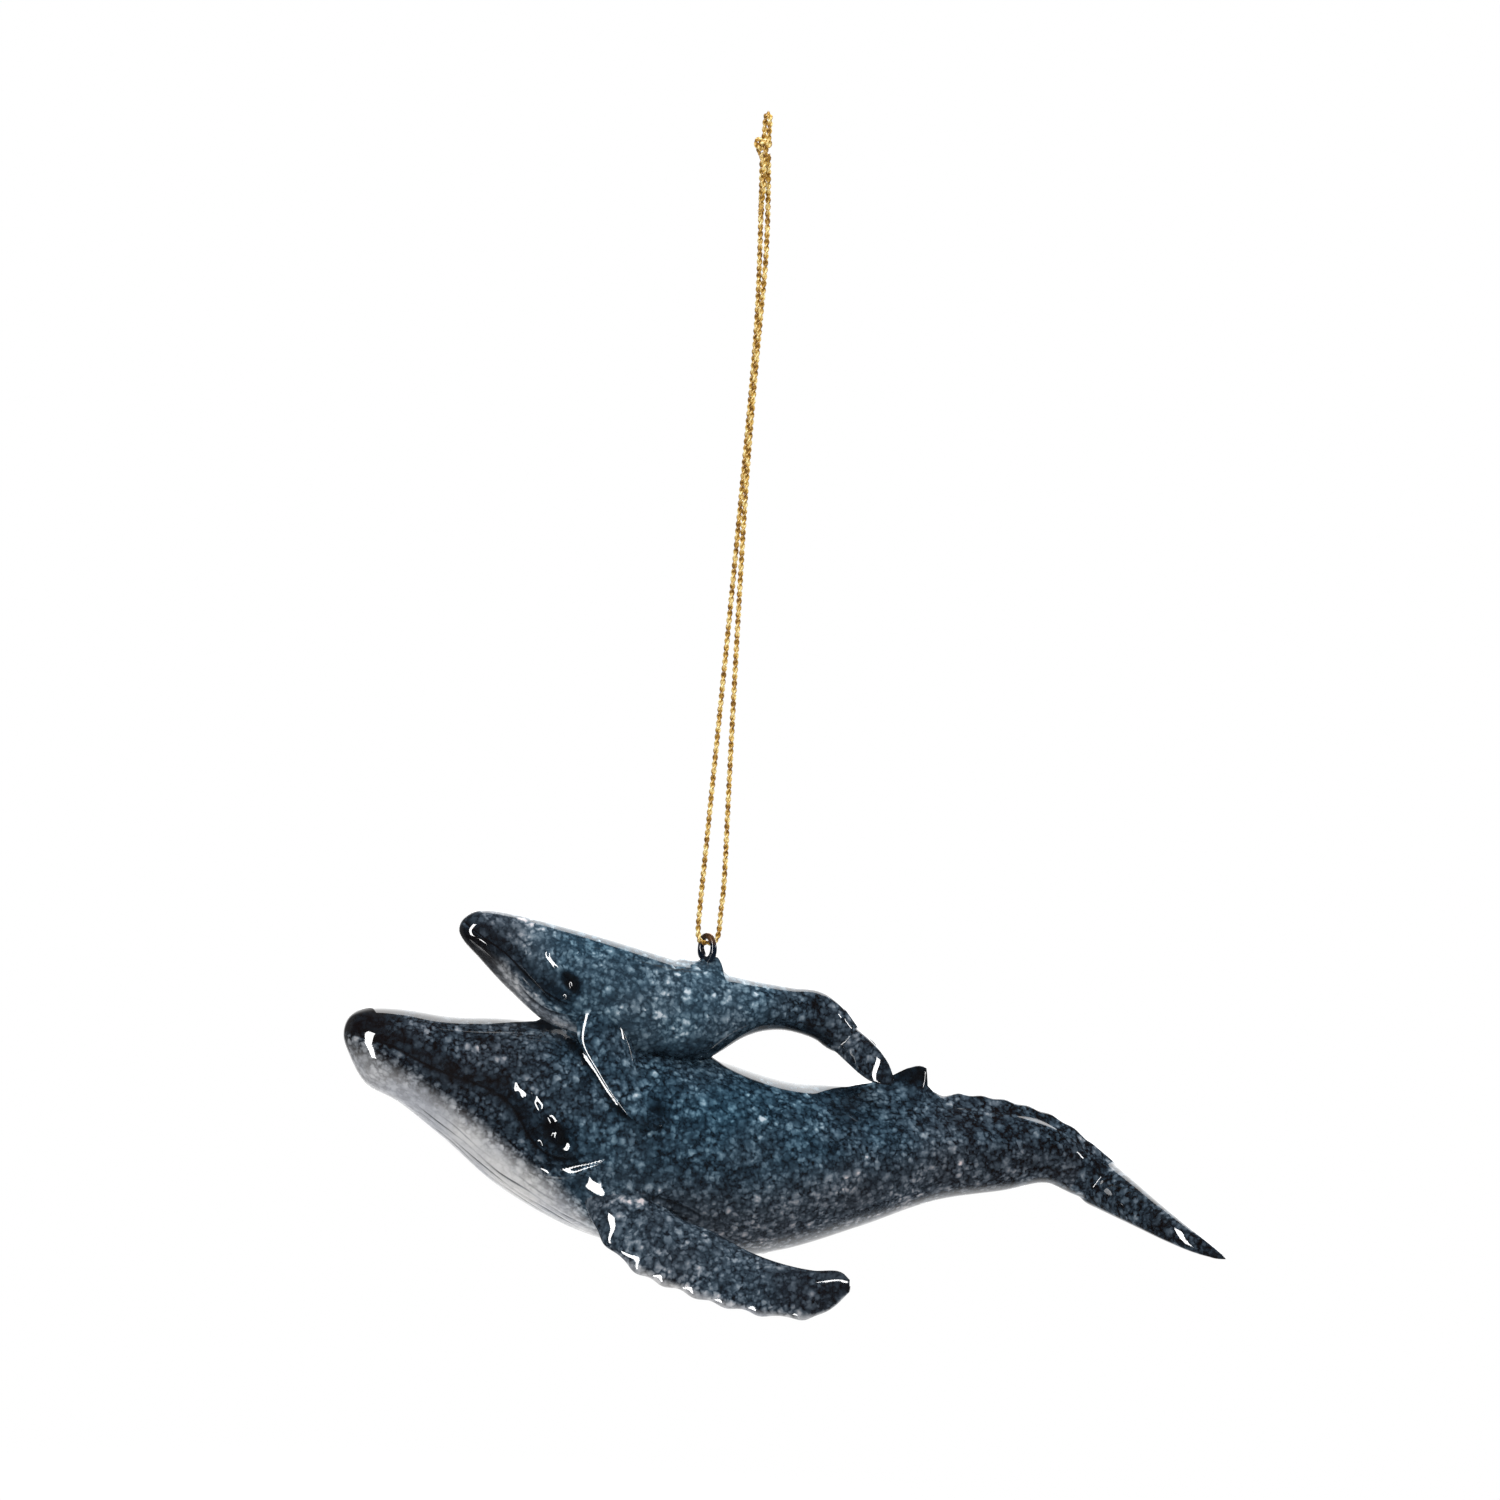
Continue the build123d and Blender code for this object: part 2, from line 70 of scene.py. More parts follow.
def smooth_through(places, values, at):
    """Cubic curve through the values at the places, with slopes taken from both neighbours."""
    places = np.asarray(places, float)
    values = np.asarray(values, float)
    slopes = np.gradient(values, places, axis=0)
    span = np.clip(np.searchsorted(places, at) - 1, 0, len(places) - 2)
    width = places[span + 1] - places[span]
    share = (at - places[span]) / width
    if values.ndim > 1:
        width = width[:, None]
        share = share[:, None]
    start = values[span] * (1 + 2 * share) + slopes[span] * width * share
    end = values[span + 1] * (3 - 2 * share) - slopes[span + 1] * width * (1 - share)
    return start * (1 - share) ** 2 + end * share**2


def smooth_line(points, count=60):
    """A flowing line through a few given points."""
    points = np.array(points, float)
    steps = np.linalg.norm(np.diff(points, axis=0), axis=1)
    reach = np.concatenate([[0], np.cumsum(steps)])
    return smooth_through(reach, points, np.linspace(0, reach[-1], count))


def bell(distance, width):
    return np.exp(-((distance / width) ** 2))


def ramp(low, high, value):
    """Soft step from 0 at low to 1 at high."""
    share = np.clip((value - low) / (high - low), 0, 1)
    return share * share * (3 - 2 * share)


def ring_shares(nose, head, rest):
    """Places of the rings along a body: rounded off at the nose and close together over the head."""
    tip = np.linspace(0.012, 0.15, nose) ** 2
    front = np.linspace(tip[-1], 0.42, head)
    return np.concatenate([tip, front[1:], np.linspace(0.42, 1, rest)[1:]])


def ring_angles(count):
    """Angles round a ring from its top, closer together on the lower flanks."""
    turn = np.arange(count) * 2 * math.pi / count
    return turn + 0.3 * np.sin(turn) + 0.15 * np.sin(2 * turn)


def body_rings(length, depth, width, back, eye_share, stations, shares, around):
    """Oval rings from nose to tail joint; a station is share along, rise of the back, depth, width, lean."""
    along, *columns = np.array(stations).T
    rise, deep, wide, lean = [smooth_through(np.sqrt(along), each, np.sqrt(shares)) for each in columns]
    top = back + depth * rise
    half = depth * deep / 2
    side = width * wide / 2
    shift = depth * lean
    tuck = 1 - 0.05 * ramp(0.985, 1, shares)
    angle = ring_angles(around)
    fall = (1 - np.cos(angle)) / 2
    x = ((shares - eye_share) * length)[:, None] + shift[:, None] * fall
    y = -(side * tuck)[:, None] * np.sin(angle)
    z = (top - half)[:, None] + (half * tuck)[:, None] * np.cos(angle)
    return np.stack([x, y, z], axis=-1), angle


def side_view(points):
    """Where points of either flank lie in the slanting side view that the marks are placed in."""
    x, y, z = np.moveaxis(points, -1, 0)
    reach = np.abs(y)
    return 0.9925 * x + 0.122 * reach, 0.986 * z - 0.164 * reach + 0.020 * x


def line_distance(places, line):
    """Distance of each side-view place above a line that runs towards the tail, and the share along it."""
    px, pz = places
    best = np.full(px.shape, 1e9)
    above = np.zeros(px.shape)
    share = np.zeros(px.shape)
    for step, (start, end) in enumerate(zip(line, line[1:])):
        run = end - start
        at = np.clip(((px - start[0]) * run[0] + (pz - start[1]) * run[1]) / (run @ run), 0, 1)
        dx = px - start[0] - at * run[0]
        dz = pz - start[1] - at * run[1]
        gap = np.hypot(dx, dz)
        nearer = gap < best
        best = np.where(nearer, gap, best)
        above = np.where(nearer, np.sign(run[0] * dz - run[1] * dx) * gap, above)
        share = np.where(nearer, (step + at) / (len(line) - 1), share)
    return above, share


def ring_normals(grid):
    """Unit normals of a grid of rings."""
    along = np.gradient(grid, axis=0)
    around = np.roll(grid, -1, axis=1) - np.roll(grid, 1, axis=1)
    normal = np.cross(around, along)
    return normal / np.maximum(np.linalg.norm(normal, axis=-1, keepdims=True), 1e-9)


def push_out(grid, amount):
    """Moves a grid of rings along its own normals."""
    return grid + ring_normals(grid) * amount[..., None]


def in_metres(points):
    """Points in metres in the shared frame, from millimetres measured from the top of the eye ring."""
    return (np.asarray(points) / 1000 + [0, 0, EYE_RING_HEIGHT]).tolist()


def grid_piece(name, grid, paint, material):
    """Closed skin over a grid of rings, with a pole at each end and its paint stored on the points."""
    rings, around = grid.shape[:2]
    points = np.concatenate([grid.reshape(-1, 3), grid[:1].mean(axis=1), grid[-1:].mean(axis=1)])
    row = np.arange(around)
    after = (row + 1) % around
    faces = []
    for ring in range(rings - 1):
        here = ring * around
        there = here + around
        faces.extend(zip(here + row, here + after, there + after, there + row))
    first = rings * around
    last = first - around
    faces.extend(zip([first] * around, after, row))
    faces.extend(zip([first + 1] * around, last + row, last + after))
    mesh = bpy.data.meshes.new(name)
    mesh.from_pydata(in_metres(points), [], [list(map(int, face)) for face in faces])
    for key, values in paint.items():
        spread = np.concatenate([values.ravel(), values[:1].mean(axis=1), values[-1:].mean(axis=1)])
        mesh.attributes.new(key, "FLOAT", "POINT").data.foreach_set("value", spread.astype(np.float32))
    return finished_piece(name, mesh, material)


def finished_piece(name, mesh, material):
    """Smooth-shaded object with its faces turned outwards."""
    shell = bmesh.new()
    shell.from_mesh(mesh)
    bmesh.ops.recalc_face_normals(shell, faces=shell.faces)
    shell.to_mesh(mesh)
    shell.free()
    mesh.shade_smooth()
    mesh.materials.clear()
    mesh.materials.append(material)
    return new_object(name, mesh)


def new_object(name, content):
    """An object in the scene."""
    made = bpy.data.objects.new(name, content)
    bpy.context.scene.collection.objects.link(made)
    return made


def carve_head(places, marks, size):
    """Relief of mouth, eye, ridges, flat planes and folds, and the dark paint that goes with them.

    A ridge is a line, a height and a width. A plane is its middle, half length, half width, turn in degrees,
    and its lean along x, its lean along z and its hollow.
    """
    gap, share = line_distance(places, smooth_line(marks["mouth"]))
    gap = gap / size
    shut = ramp(0.0, 0.06, share) * ramp(1.0, 0.85, share)
    relief = shut * marks["groove"] * (0.5 * bell(gap + 0.9, 0.6) - bell(gap, 0.4))
    lower_soot = ramp(-2.4, 0.0, gap) * (0.3 + 0.7 * ramp(0.1, 0.4, share))
    soot = np.where(gap > 0, ramp(5.0, 1.2, gap), lower_soot)
    dark = shut * np.maximum(0.66 * soot, bell(gap, 0.32))
    across, up = (places[0] - marks["eye"][0]) / size, (places[1] - marks["eye"][1]) / size
    ball = np.sqrt(np.clip(1 - (across**2 + up**2) / 0.75**2, 0, 1))
    socket = np.hypot((0.62 * across - 0.78 * up + 0.7) / 3.4, (0.78 * across + 0.62 * up) / 2.0)
    relief += 0.30 * ball - 0.16 * ramp(1.2, 0.3, socket)
    dark = np.maximum(dark, 0.92 * ramp(1.35, 0.45, socket))
    for line, height, width in marks["ridges"]:
        gap, share = line_distance(places, smooth_line(line))
        gap = gap / size
        fade = ramp(0, 0.2, share) * ramp(1, 0.8, share) * (1 + 0.06 * np.sin(13 * share))
        valley = bell(np.abs(gap) - 2.4 * width, width)
        relief += fade * (height * bell(gap, width) - 0.3 * height * valley)
    for x, z, length, width, turn, (lean_x, lean_z, hollow) in marks["planes"]:
        across, up = places[0] - x, places[1] - z
        cos, sin = math.cos(math.radians(turn)), math.sin(math.radians(turn))
        along, off = (across * cos + up * sin) / length, (up * cos - across * sin) / width
        relief += (lean_x * across + lean_z * up + hollow * across**2) * np.exp(-(along**8) - off**8)
    for line in marks["folds"]:
        gap, share = line_distance(places, smooth_line(line))
        gap = gap / size
        fade = ramp(0, 0.2, share) * ramp(1, 0.7, share)
        relief += fade * (0.12 * bell(np.abs(gap) - 0.6, 0.35) - 0.28 * bell(gap, 0.27))
        dark = np.maximum(dark, 0.7 * fade * bell(gap, 0.35))
    return size * relief, dark


def pleats(places, angle, upper, count):
    """Throat grooves from the upper pleat line to the keel: relief, and the broken dark line in each."""
    x = places[0]
    edge = np.interp(x, *np.transpose(upper))
    turn = np.abs(np.degrees(angle) - 180)
    order = count * turn / edge + 0.10 * np.sin(x * 0.7 + 2.1 * np.round(count * turn / edge))
    groove = bell(np.abs(order - np.round(order)) * edge / count, 1.6)
    start, end = upper[0][0], upper[-1][0]
    fade = ramp(start, start + 6, x) * ramp(end, end - 6, x) * ramp(count + 0.4, count - 2, order)
    broken = 0.7 + 0.3 * np.sin(x * 0.55 + 4 * np.round(order))
    return fade * (0.04 - 0.15 * groove), fade * broken * groove


def back_fin(grid, profile, thickness, rake):
    """Raises a raked fin from the middle of the back: height along it, thickness and backward lean."""
    x, y, z = np.moveaxis(grid, -1, 0)
    on_top = z > z.mean(axis=1, keepdims=True)
    height = np.interp(x, *np.transpose(profile))
    blade = 0.65 / (1 + (np.abs(y) / (thickness / 2)) ** 3)
    lift = on_top * height * (blade + 0.35 * bell(y, 1.8 * thickness))
    return grid + np.stack([rake * lift, -0.25 * y * lift / max(height.max(), 1), lift], axis=-1), lift


def fill_inputs(tree, made, inputs):
    """Fills the inputs of a node with values or links."""
    for key, value in dict(inputs).items():
        if isinstance(value, bpy.types.NodeSocket):
            tree.links.new(value, made.inputs[key])
        else:
            made.inputs[key].default_value = value


def node(tree, kind, inputs=(), **settings):
    """Adds a shader or geometry node with its settings and inputs."""
    made = tree.nodes.new(kind)
    for key, value in settings.items():
        setattr(made, key, value)
    fill_inputs(tree, made, inputs)
    return made


def maths(tree, operation, *values):
    """One step of arithmetic on values or links."""
    return node(tree, "ShaderNodeMath", enumerate(values), operation=operation).outputs[0]


def map_range(tree, value, low, high, to_low=0, to_high=1, curve="SMOOTHSTEP"):
    """Carries a value from one range over to another."""
    limits = {"Value": value, "From Min": low, "From Max": high, "To Min": to_low, "To Max": to_high}
    return node(tree, "ShaderNodeMapRange", limits, interpolation_type=curve).outputs["Result"]


def blend_colours(tree, share, under, over, kind="MIX"):
    """Lays one colour over another by a share."""
    layers = {"Factor": share, "A": under, "B": over}
    return node(tree, "ShaderNodeMix", layers, data_type="RGBA", blend_type=kind).outputs[2]


def tint(red, green, blue):
    """A colour as it looks on screen, 0 to 255, in the linear values that nodes take."""
    shares = [level / 255 for level in (red, green, blue)]
    return (*[((share + 0.055) / 1.055) ** 2.4 if share > 0.04 else share / 12.92 for share in shares], 1)


def colour_scale(tree, value, *stops):
    """Colours along a scale, each stop being its place and its colour on screen."""
    made = node(tree, "ShaderNodeValToRGB", {"Fac": value})
    steps = made.color_ramp.elements
    for step, (place, colour) in zip(steps, (stops[0], stops[-1])):
        step.position = place
        step.color = tint(*colour)
    for place, colour in stops[1:-1]:
        steps.new(place).color = tint(*colour)
    return made.outputs["Color"]


def bump(tree, height, strength, distance):
    """Fine relief in the shading."""
    return node(tree, "ShaderNodeBump", {"Height": height, "Strength": strength,
                                         "Distance": distance}).outputs["Normal"]


def new_material(name):
    """A material with its node tree and its shader."""
    material = bpy.data.materials.new(name)
    material.use_nodes = True
    return material, material.node_tree, material.node_tree.nodes["Principled BSDF"]


def lacquered_resin():
    """Navy spattered with soft blue-grey dots under clear lacquer: pale belly, dark creases, painted shade,
    teal back.
    """
    material, tree, shader = new_material("lacquered_resin")
    place = node(tree, "ShaderNodeTexCoord").outputs["Object"]

    def plus(value, more):
        return maths(tree, "ADD", value, more)

    def times(value, factor):
        return maths(tree, "MULTIPLY", value, factor)

    def painted(name):
        return node(tree, "ShaderNodeAttribute", attribute_name=name).outputs["Fac"]

    def noise(scale, detail):
        return node(tree, "ShaderNodeTexNoise", {"Vector": place, "Scale": scale, "Detail": detail}).outputs

    wobble = node(tree, "ShaderNodeVectorMath", {0: noise(1500, 1)["Color"], 1: (0.5, 0.5, 0.5)},
                  operation="SUBTRACT").outputs[0]
    shifted = node(tree, "ShaderNodeVectorMath", {0: wobble, 1: (0.0007, 0.0007, 0.0007), 2: place},
                   operation="MULTIPLY_ADD").outputs[0]

    def dots(scale, size, fewest, strongest):
        """Soft round dots, each with its own strength."""
        cells = node(tree, "ShaderNodeTexVoronoi", {"Vector": shifted, "Scale": scale}).outputs
        lot = node(tree, "ShaderNodeSeparateColor", {0: cells["Color"]}).outputs[0]
        strength = map_range(tree, lot, fewest, 1, 0, strongest)
        return times(map_range(tree, cells["Distance"], 0.08, size, 1, 0), strength)

    def over(first, second):
        """Two layers of half-clear dots, one over the other."""
        return plus(first, times(second, maths(tree, "SUBTRACT", 1.0, first)))

    drift = noise(120, 3)["Fac"]
    flecks = over(over(dots(700, 0.7, 0.3, 0.6), dots(1200, 0.78, -0.1, 0.5)), dots(1900, 0.85, -0.2, 0.3))
    grain = map_range(tree, noise(2400, 2)["Fac"], 0.3, 0.7, -0.05, 0.05)
    flecks = times(plus(flecks, grain), map_range(tree, noise(330, 2)["Fac"], 0.3, 0.7, 0.6, 1.25))
    sponged = times(flecks, plus(1.0, times(painted("frost"), 0.2)))
    sponged = plus(sponged, plus(0.015, times(painted("frost"), 0.13)))
    # The dark attribute dims the flecks: dark paint, and painted shade along the calf's flipper and under the
    # calf.
    navy = colour_scale(
        tree, times(sponged, map_range(tree, painted("dark"), 0, 1, 1, 0.03)),
        (0.0, (12, 13, 15)), (0.1, (22, 34, 44)), (0.3, (46, 65, 79)), (0.5, (72, 94, 109)),
        (0.75, (108, 131, 145)), (1.0, (176, 190, 200)),
    )
    teal = blend_colours(tree, times(painted("teal"), 0.5), navy, tint(56, 124, 140), "SOFT_LIGHT")
    brown = plus(painted("warm"), map_range(tree, drift, 0.4, 0.7, 0, 0.25))
    warmed = blend_colours(tree, brown, teal, (1.75, 1.1, 0.93, 1), "MULTIPLY")
    speckle = plus(painted("belly"), times(plus(flecks, -0.3), 0.5))
    bare = times(map_range(tree, speckle, 0.1, 0.95), map_range(tree, painted("dark"), 0.1, 0.8, 1, 0.1))
    chalk = blend_colours(tree, map_range(tree, drift, 0.3, 0.7), tint(172, 174, 180), tint(202, 201, 200))
    fill_inputs(tree, shader, {
        "Base Color": blend_colours(tree, bare, warmed, chalk),
        "Normal": bump(tree, noise(300, 2)["Fac"], 0.08, 0.0002),
        "Roughness": 0.04,
        "IOR": 1.5,
    })
    return material


resin = lacquered_resin()
mother_marks = {
    "mouth": [(-51.9, -17.4), (-50.9, -17.7), (-47.9, -18.3), (-44.1, -19.3), (-41.0, -20.7), (-37.1, -22.3),
              (-33.3, -23.4), (-29.3, -24.6), (-26.8, -26.2), (-25.2, -28.1), (-23.9, -30.3), (-22.6, -31.9),
              (-20.7, -33.2), (-18.1, -33.6), (-15.4, -33.2), (-12.1, -31.7)],
    "groove": 0.07,
    "eye": (-19.5, -30.6),
    "planes": [(-25.1, -24.4, 1.8, 0.6, -28, (0.31, -0.05, 0.02)),
               (-22.4, -26.0, 1.8, 0.7, -37, (0.34, -0.05, 0.02)),
               (-20.5, -27.8, 1.5, 0.8, -42, (0.4, -0.05, 0.02)),
               (-13.7, -37.7, 2.2, 1.6, -28, (0.18, -0.2, 0.02))],
    "ridges": [([(-27.4, -23.6), (-24.8, -24.6), (-22.2, -26.1), (-19.4, -28.8)], 0.25, 0.95),
               ([(-22.4, -35.6), (-20.1, -35.8), (-17.5, -35.7), (-15.3, -34.9), (-11.9, -33.8),
                 (-10.4, -33.2)], 0.43, 0.45),
               ([(-22.2, -31.0), (-20.8, -32.3), (-19.2, -32.8), (-17.6, -32.4), (-16.8, -31.6)], 0.4, 0.45)],
    "folds": [[(-22.4, -34.6), (-19.0, -34.8), (-15.0, -34.0), (-11.5, -32.6)],
              [(-8.5, -37.4), (-6.7, -37.7), (-3.5, -38.1), (-0.3, -39.3), (2.7, -41.0), (4.4, -42.6)]],
}
PLEATS = 6
PLEAT_LINE = [(-43, 62), (-36, 62), (-24, 55), (-12, 44)]
NECK_LINE = [(-24.6, -13.4), (-23.7, -14.0), (-20.4, -15.4), (-17.0, -18.1), (-14.6, -20.8), (-12.0, -24.3),
             (-10.5, -26.0), (-8.6, -27.0), (-4.9, -27.4), (-2.8, -26.1)]
KNUCKLES = 6
FIRST_KNUCKLE = 38.4
KNUCKLE_SPACING = 3.4
MOTHER_FIN_PROFILE = [(22, 0), (25, 0.7), (27.5, 2.0), (29.4, 3.4), (30.8, 4.0), (32.1, 3.9), (32.7, 2.7),
                      (33.2, 1.4), (34.3, 0.6), (36, 0)]
MOTHER_FIN_THICKNESS = 2.6
MOTHER_FIN_RAKE = 0.32
MOTHER_PALE_EDGE = [
    (-52, -17.6), (-47, -19.4), (-42.9, -21.4), (-39.3, -23.7), (-36.5, -25.3), (-30.8, -28.8),
    (-26.5, -32.0), (-22.5, -34.8), (-19.3, -36.6), (-15.7, -39.0), (-12.8, -42.0), (-8, -46.0), (9, -46.8),
    (18, -44.4), (25, -42.0), (33, -38.6), (40, -36.6), (47.5, -35.9), (58, -37.2),
]
LOW_FLANK_LINE = [(-10, -46), (9, -46), (25, -41), (40, -35.5), (58, -35.5)]

mother_grid, mother_angle = body_rings(
    MOTHER_LENGTH, MOTHER_DEPTH, MOTHER_WIDTH, MOTHER_BACK, MOTHER_EYE_SHARE, MOTHER_STATIONS,
    ring_shares(nose=45, head=270, rest=116), around=228,
)
body_x, body_y, _ = np.moveaxis(mother_grid, -1, 0)
mother_places = side_view(mother_grid)
mother_x, mother_z = mother_places
face_relief, mother_dark = carve_head(mother_places, mother_marks, 1.0)
throat_relief, throat_dark = pleats(mother_places, mother_angle, PLEAT_LINE, PLEATS)
shoulder = 1.3 * bell(np.hypot((mother_x + 9.5) / 8.5, (mother_z + 40.0) / 4.5), 1.0)
neck_gap, neck_share = line_distance(mother_places, smooth_line(NECK_LINE))
neck_fade = ramp(0, 0.06, neck_share) * ramp(1, 0.8, neck_share)
neck_step = 0.4 * ramp(-0.45, 0.45, neck_gap) * ramp(7, 1, neck_gap)
neck_step = neck_fade * (neck_step - 0.12 * bell(neck_gap + 0.8, 0.5))
# Painted shadow: dark paint in the groove below the edge of the calf's flipper, where its shadow falls on the
# flank.
painted_flipper_shadow = 0.75 * neck_fade * ramp(-1.5, -0.1, neck_gap) * ramp(0.25, 0, neck_gap)
knuckles = sum(bell(body_x - FIRST_KNUCKLE - KNUCKLE_SPACING * place, 1.2) for place in range(KNUCKLES))
tail_ridge = (0.35 + 0.3 * knuckles) * bell(body_y, 0.9) - 0.22 * bell(np.abs(body_y) - 2.0, 0.8)
tail_ridge = (np.cos(mother_angle) > 0) * ramp(35.5, 38.5, body_x) * tail_ridge
back_width = np.interp(body_x, [26, 34, 45, 52], [4.0, 2.4, 2.4, 4.0])
back_slope = ramp(14, 21, body_x) * ramp(52, 44, body_x) * ramp(0.1, 0.8, np.cos(mother_angle))
back_slope = -1.1 * back_slope * (1 - bell(body_y, back_width))
body_relief = shoulder + neck_step + tail_ridge + back_slope
mother_grid = push_out(mother_grid, face_relief + throat_relief + body_relief)
mother_grid, mother_fin = back_fin(mother_grid, MOTHER_FIN_PROFILE, MOTHER_FIN_THICKNESS, MOTHER_FIN_RAKE)

below = np.interp(mother_x, *np.transpose(MOTHER_PALE_EDGE)) - mother_z
mouth_gap, _ = line_distance(mother_places, smooth_line(mother_marks["mouth"]))
nose_tip = ramp(-39, -47, mother_x) * ramp(-0.8, 0.4, mouth_gap)
flipper_tip_spot = bell(np.hypot(mother_x + 5.5, (mother_z + 25.6) * 1.15), 1.9)
back_spot = bell(np.hypot(mother_x - 21.5, mother_z + 22.5), 3.2)
cheek = bell(np.hypot((mother_x + 12) / 6, (mother_z + 35) / 5), 1)
mother_teal = bell(mother_x - 6, 13) * bell(mother_z + 25, 6)
low_flank = ramp(14, 5, mother_z - np.interp(mother_x, *np.transpose(LOW_FLANK_LINE)))
mother = grid_piece("mother_body_casting", mother_grid, {
    "belly": (0.7 + 0.2 * ramp(-46, -36, mother_x)) * ramp(-3.2, 5.0, below),
    "dark": np.maximum.reduce([mother_dark, 0.8 * throat_dark, 0.85 * nose_tip, painted_flipper_shadow, 0.6 * back_spot,
                               0.8 * flipper_tip_spot, 0.85 * ramp(0.3, 2.6, mother_fin)]),
    "teal": mother_teal,
    "frost": (0.1 + 0.6 * mother_teal + 0.35 * low_flank + 0.5 * cheek - 0.5 * ramp(30, 46, mother_x)
              - 0.2 * ramp(-24, -32, mother_x)),
    "warm": np.maximum.reduce([0.8 * low_flank * ramp(-14, -2, mother_x), 0.6 * ramp(-16, -30, mother_x),
                               0.4 * ramp(24, 40, mother_x)]),
}, resin)
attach(mother, "ornament")
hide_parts("mother_body")


# Mother's flippers: long tapered resin castings, plugged and glued into the shoulders, with a knobbly
# front edge that is wiped paler than the rest. The right one is the mirror image of the left.
MOTHER_FLIPPER_LENGTH = 36.0
MOTHER_FLIPPER_THICKNESS = 5.0
MOTHER_SHOULDER = (-11.02, -8.04, -37.42)
MOTHER_FLIPPER = [
    ((-0.170, 0.000, 0.045), (0.167, 0.000, -0.036), 1.00),
    ((-0.110, -0.153, -0.092), (0.236, -0.125, -0.064), 0.92),
    ((0.025, -0.250, -0.222), (0.353, -0.180, -0.089), 0.80),
    ((0.250, -0.333, -0.306), (0.500, -0.250, -0.150), 0.64),
    ((0.494, -0.403, -0.356), (0.628, -0.333, -0.178), 0.52),
    ((0.697, -0.458, -0.364), (0.750, -0.403, -0.186), 0.44),
    ((0.833, -0.486, -0.311), (0.861, -0.458, -0.180), 0.32),
    ((0.886, -0.494, -0.250), (0.886, -0.490, -0.200), 0.16),
]
MOTHER_KNOBS = (0.22, 0.34, 0.43, 0.53, 0.62, 0.72, 0.85)


def flipper_rings(shoulder, length, thickness, stations, rings, around):
    """Rounded sections from the shoulder to the tip, thicker where they grow out of the body."""
    fronts = np.array([front for front, _, _ in stations]) * length + shoulder
    rears = np.array([rear for _, rear, _ in stations]) * length + shoulder
    middles = (fronts + rears) / 2
    reach = np.concatenate([[0], np.cumsum(np.linalg.norm(np.diff(middles, axis=0), axis=1))])
    reach = reach / reach[-1]
    span = np.linspace(0, 1, rings)
    front = smooth_through(reach, fronts, span)
    rear = smooth_through(reach, rears, span)
    thick = smooth_through(reach, [share * thickness for _, _, share in stations], span)
    thick = thick * (1 + 0.4 * bell(span, 0.18))
    chord = rear - front
    axis = np.gradient((front + rear) / 2, axis=0)
    face = np.cross(axis, chord)
    face /= np.linalg.norm(face, axis=1, keepdims=True)
    angle = np.arange(around) * 2 * math.pi / around
    across = (1 - np.cos(angle)) / 2
    bulge = np.sign(np.sin(angle)) * np.abs(np.sin(angle)) ** 1.15 / 2
    grid = front[:, None] + chord[:, None] * across[None, :, None]
    grid = grid + face[:, None] * (thick[:, None] * bulge)[..., None]
    return grid, span, angle


def flipper_pair(name, grid, paint, left_node, right_node):
    """The left flipper and its mirror image."""
    for side, mirror, cad_node in (("left", 1, left_node), ("right", -1, right_node)):
        piece = grid_piece(f"{name}_{side}_casting", grid * [1, mirror, 1], paint, resin)
        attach(piece, "ornament")
        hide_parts(cad_node)


def flipper_paint(grid, span, angle):
    """Pale front edge and underside, dark rear edge and tip."""
    normal = ring_normals(grid)
    outward = np.sign(np.sum(normal * (grid - grid.mean(axis=1, keepdims=True))))
    under = -outward * normal[..., 2]
    front = np.broadcast_to(bell(np.minimum(angle, 2 * math.pi - angle), 0.5), under.shape)
    rear = np.broadcast_to(bell(angle - math.pi, 0.5), under.shape)
    out = ramp(0.12, 0.4, span)[:, None]
    tip = ramp(0.6, 1.0, span)[:, None] * (1 - front)
    pale = out * np.maximum(0.72 * front, 0.6 * ramp(0.2, 0.8, under))
    dark = np.maximum(0.75 * out * rear, 0.6 * tip)
    return {"belly": pale, "dark": dark, "teal": 0 * pale, "frost": 0.45 - 0.4 * tip,
            "warm": 0.45 + 0.4 * tip}


flipper_grid, flipper_span, flipper_angle = flipper_rings(
    MOTHER_SHOULDER, MOTHER_FLIPPER_LENGTH, MOTHER_FLIPPER_THICKNESS, MOTHER_FLIPPER, 200, 96
)
knobs = sum(bell(flipper_span - place, 0.034) for place in MOTHER_KNOBS)[:, None]
front_edge = bell(np.minimum(flipper_angle, 2 * math.pi - flipper_angle), 0.75)[None, :]
flipper_grid = push_out(flipper_grid, -0.62 * knobs * front_edge)
flipper_pair("mother_flipper", flipper_grid, flipper_paint(flipper_grid, flipper_span, flipper_angle),
             "mother_left_flipper", "mother_right_flipper")


# Mother's flukes: one resin casting with two swept blades and a notch between them, pegged into the
# end of the tail stock, so that its stub carries on the line of the tail.
MOTHER_FLUKE_SPAN = 37.0
MOTHER_FLUKE_CHORD = 21.2
MOTHER_FLUKE_THICKNESS = 7.0
MOTHER_FLUKE_TURN = 22.3
FLUKE_STATIONS = [
    (0.00, 0.00, 0.55, 1.00),
    (0.25, 0.14, 0.66, 0.85),
    (0.50, 0.31, 0.77, 0.68),
    (0.75, 0.52, 0.88, 0.50),
    (0.92, 0.73, 0.96, 0.32),
    (1.00, 0.89, 1.00, 0.16),
]


def blade_axes(turn):
    """Backward and upward direction of a blade that is turned down by some degrees."""
    cos, sin = math.cos(math.radians(turn)), math.sin(math.radians(turn))
    return np.array([cos, 0, -sin]), np.array([sin, 0, cos])


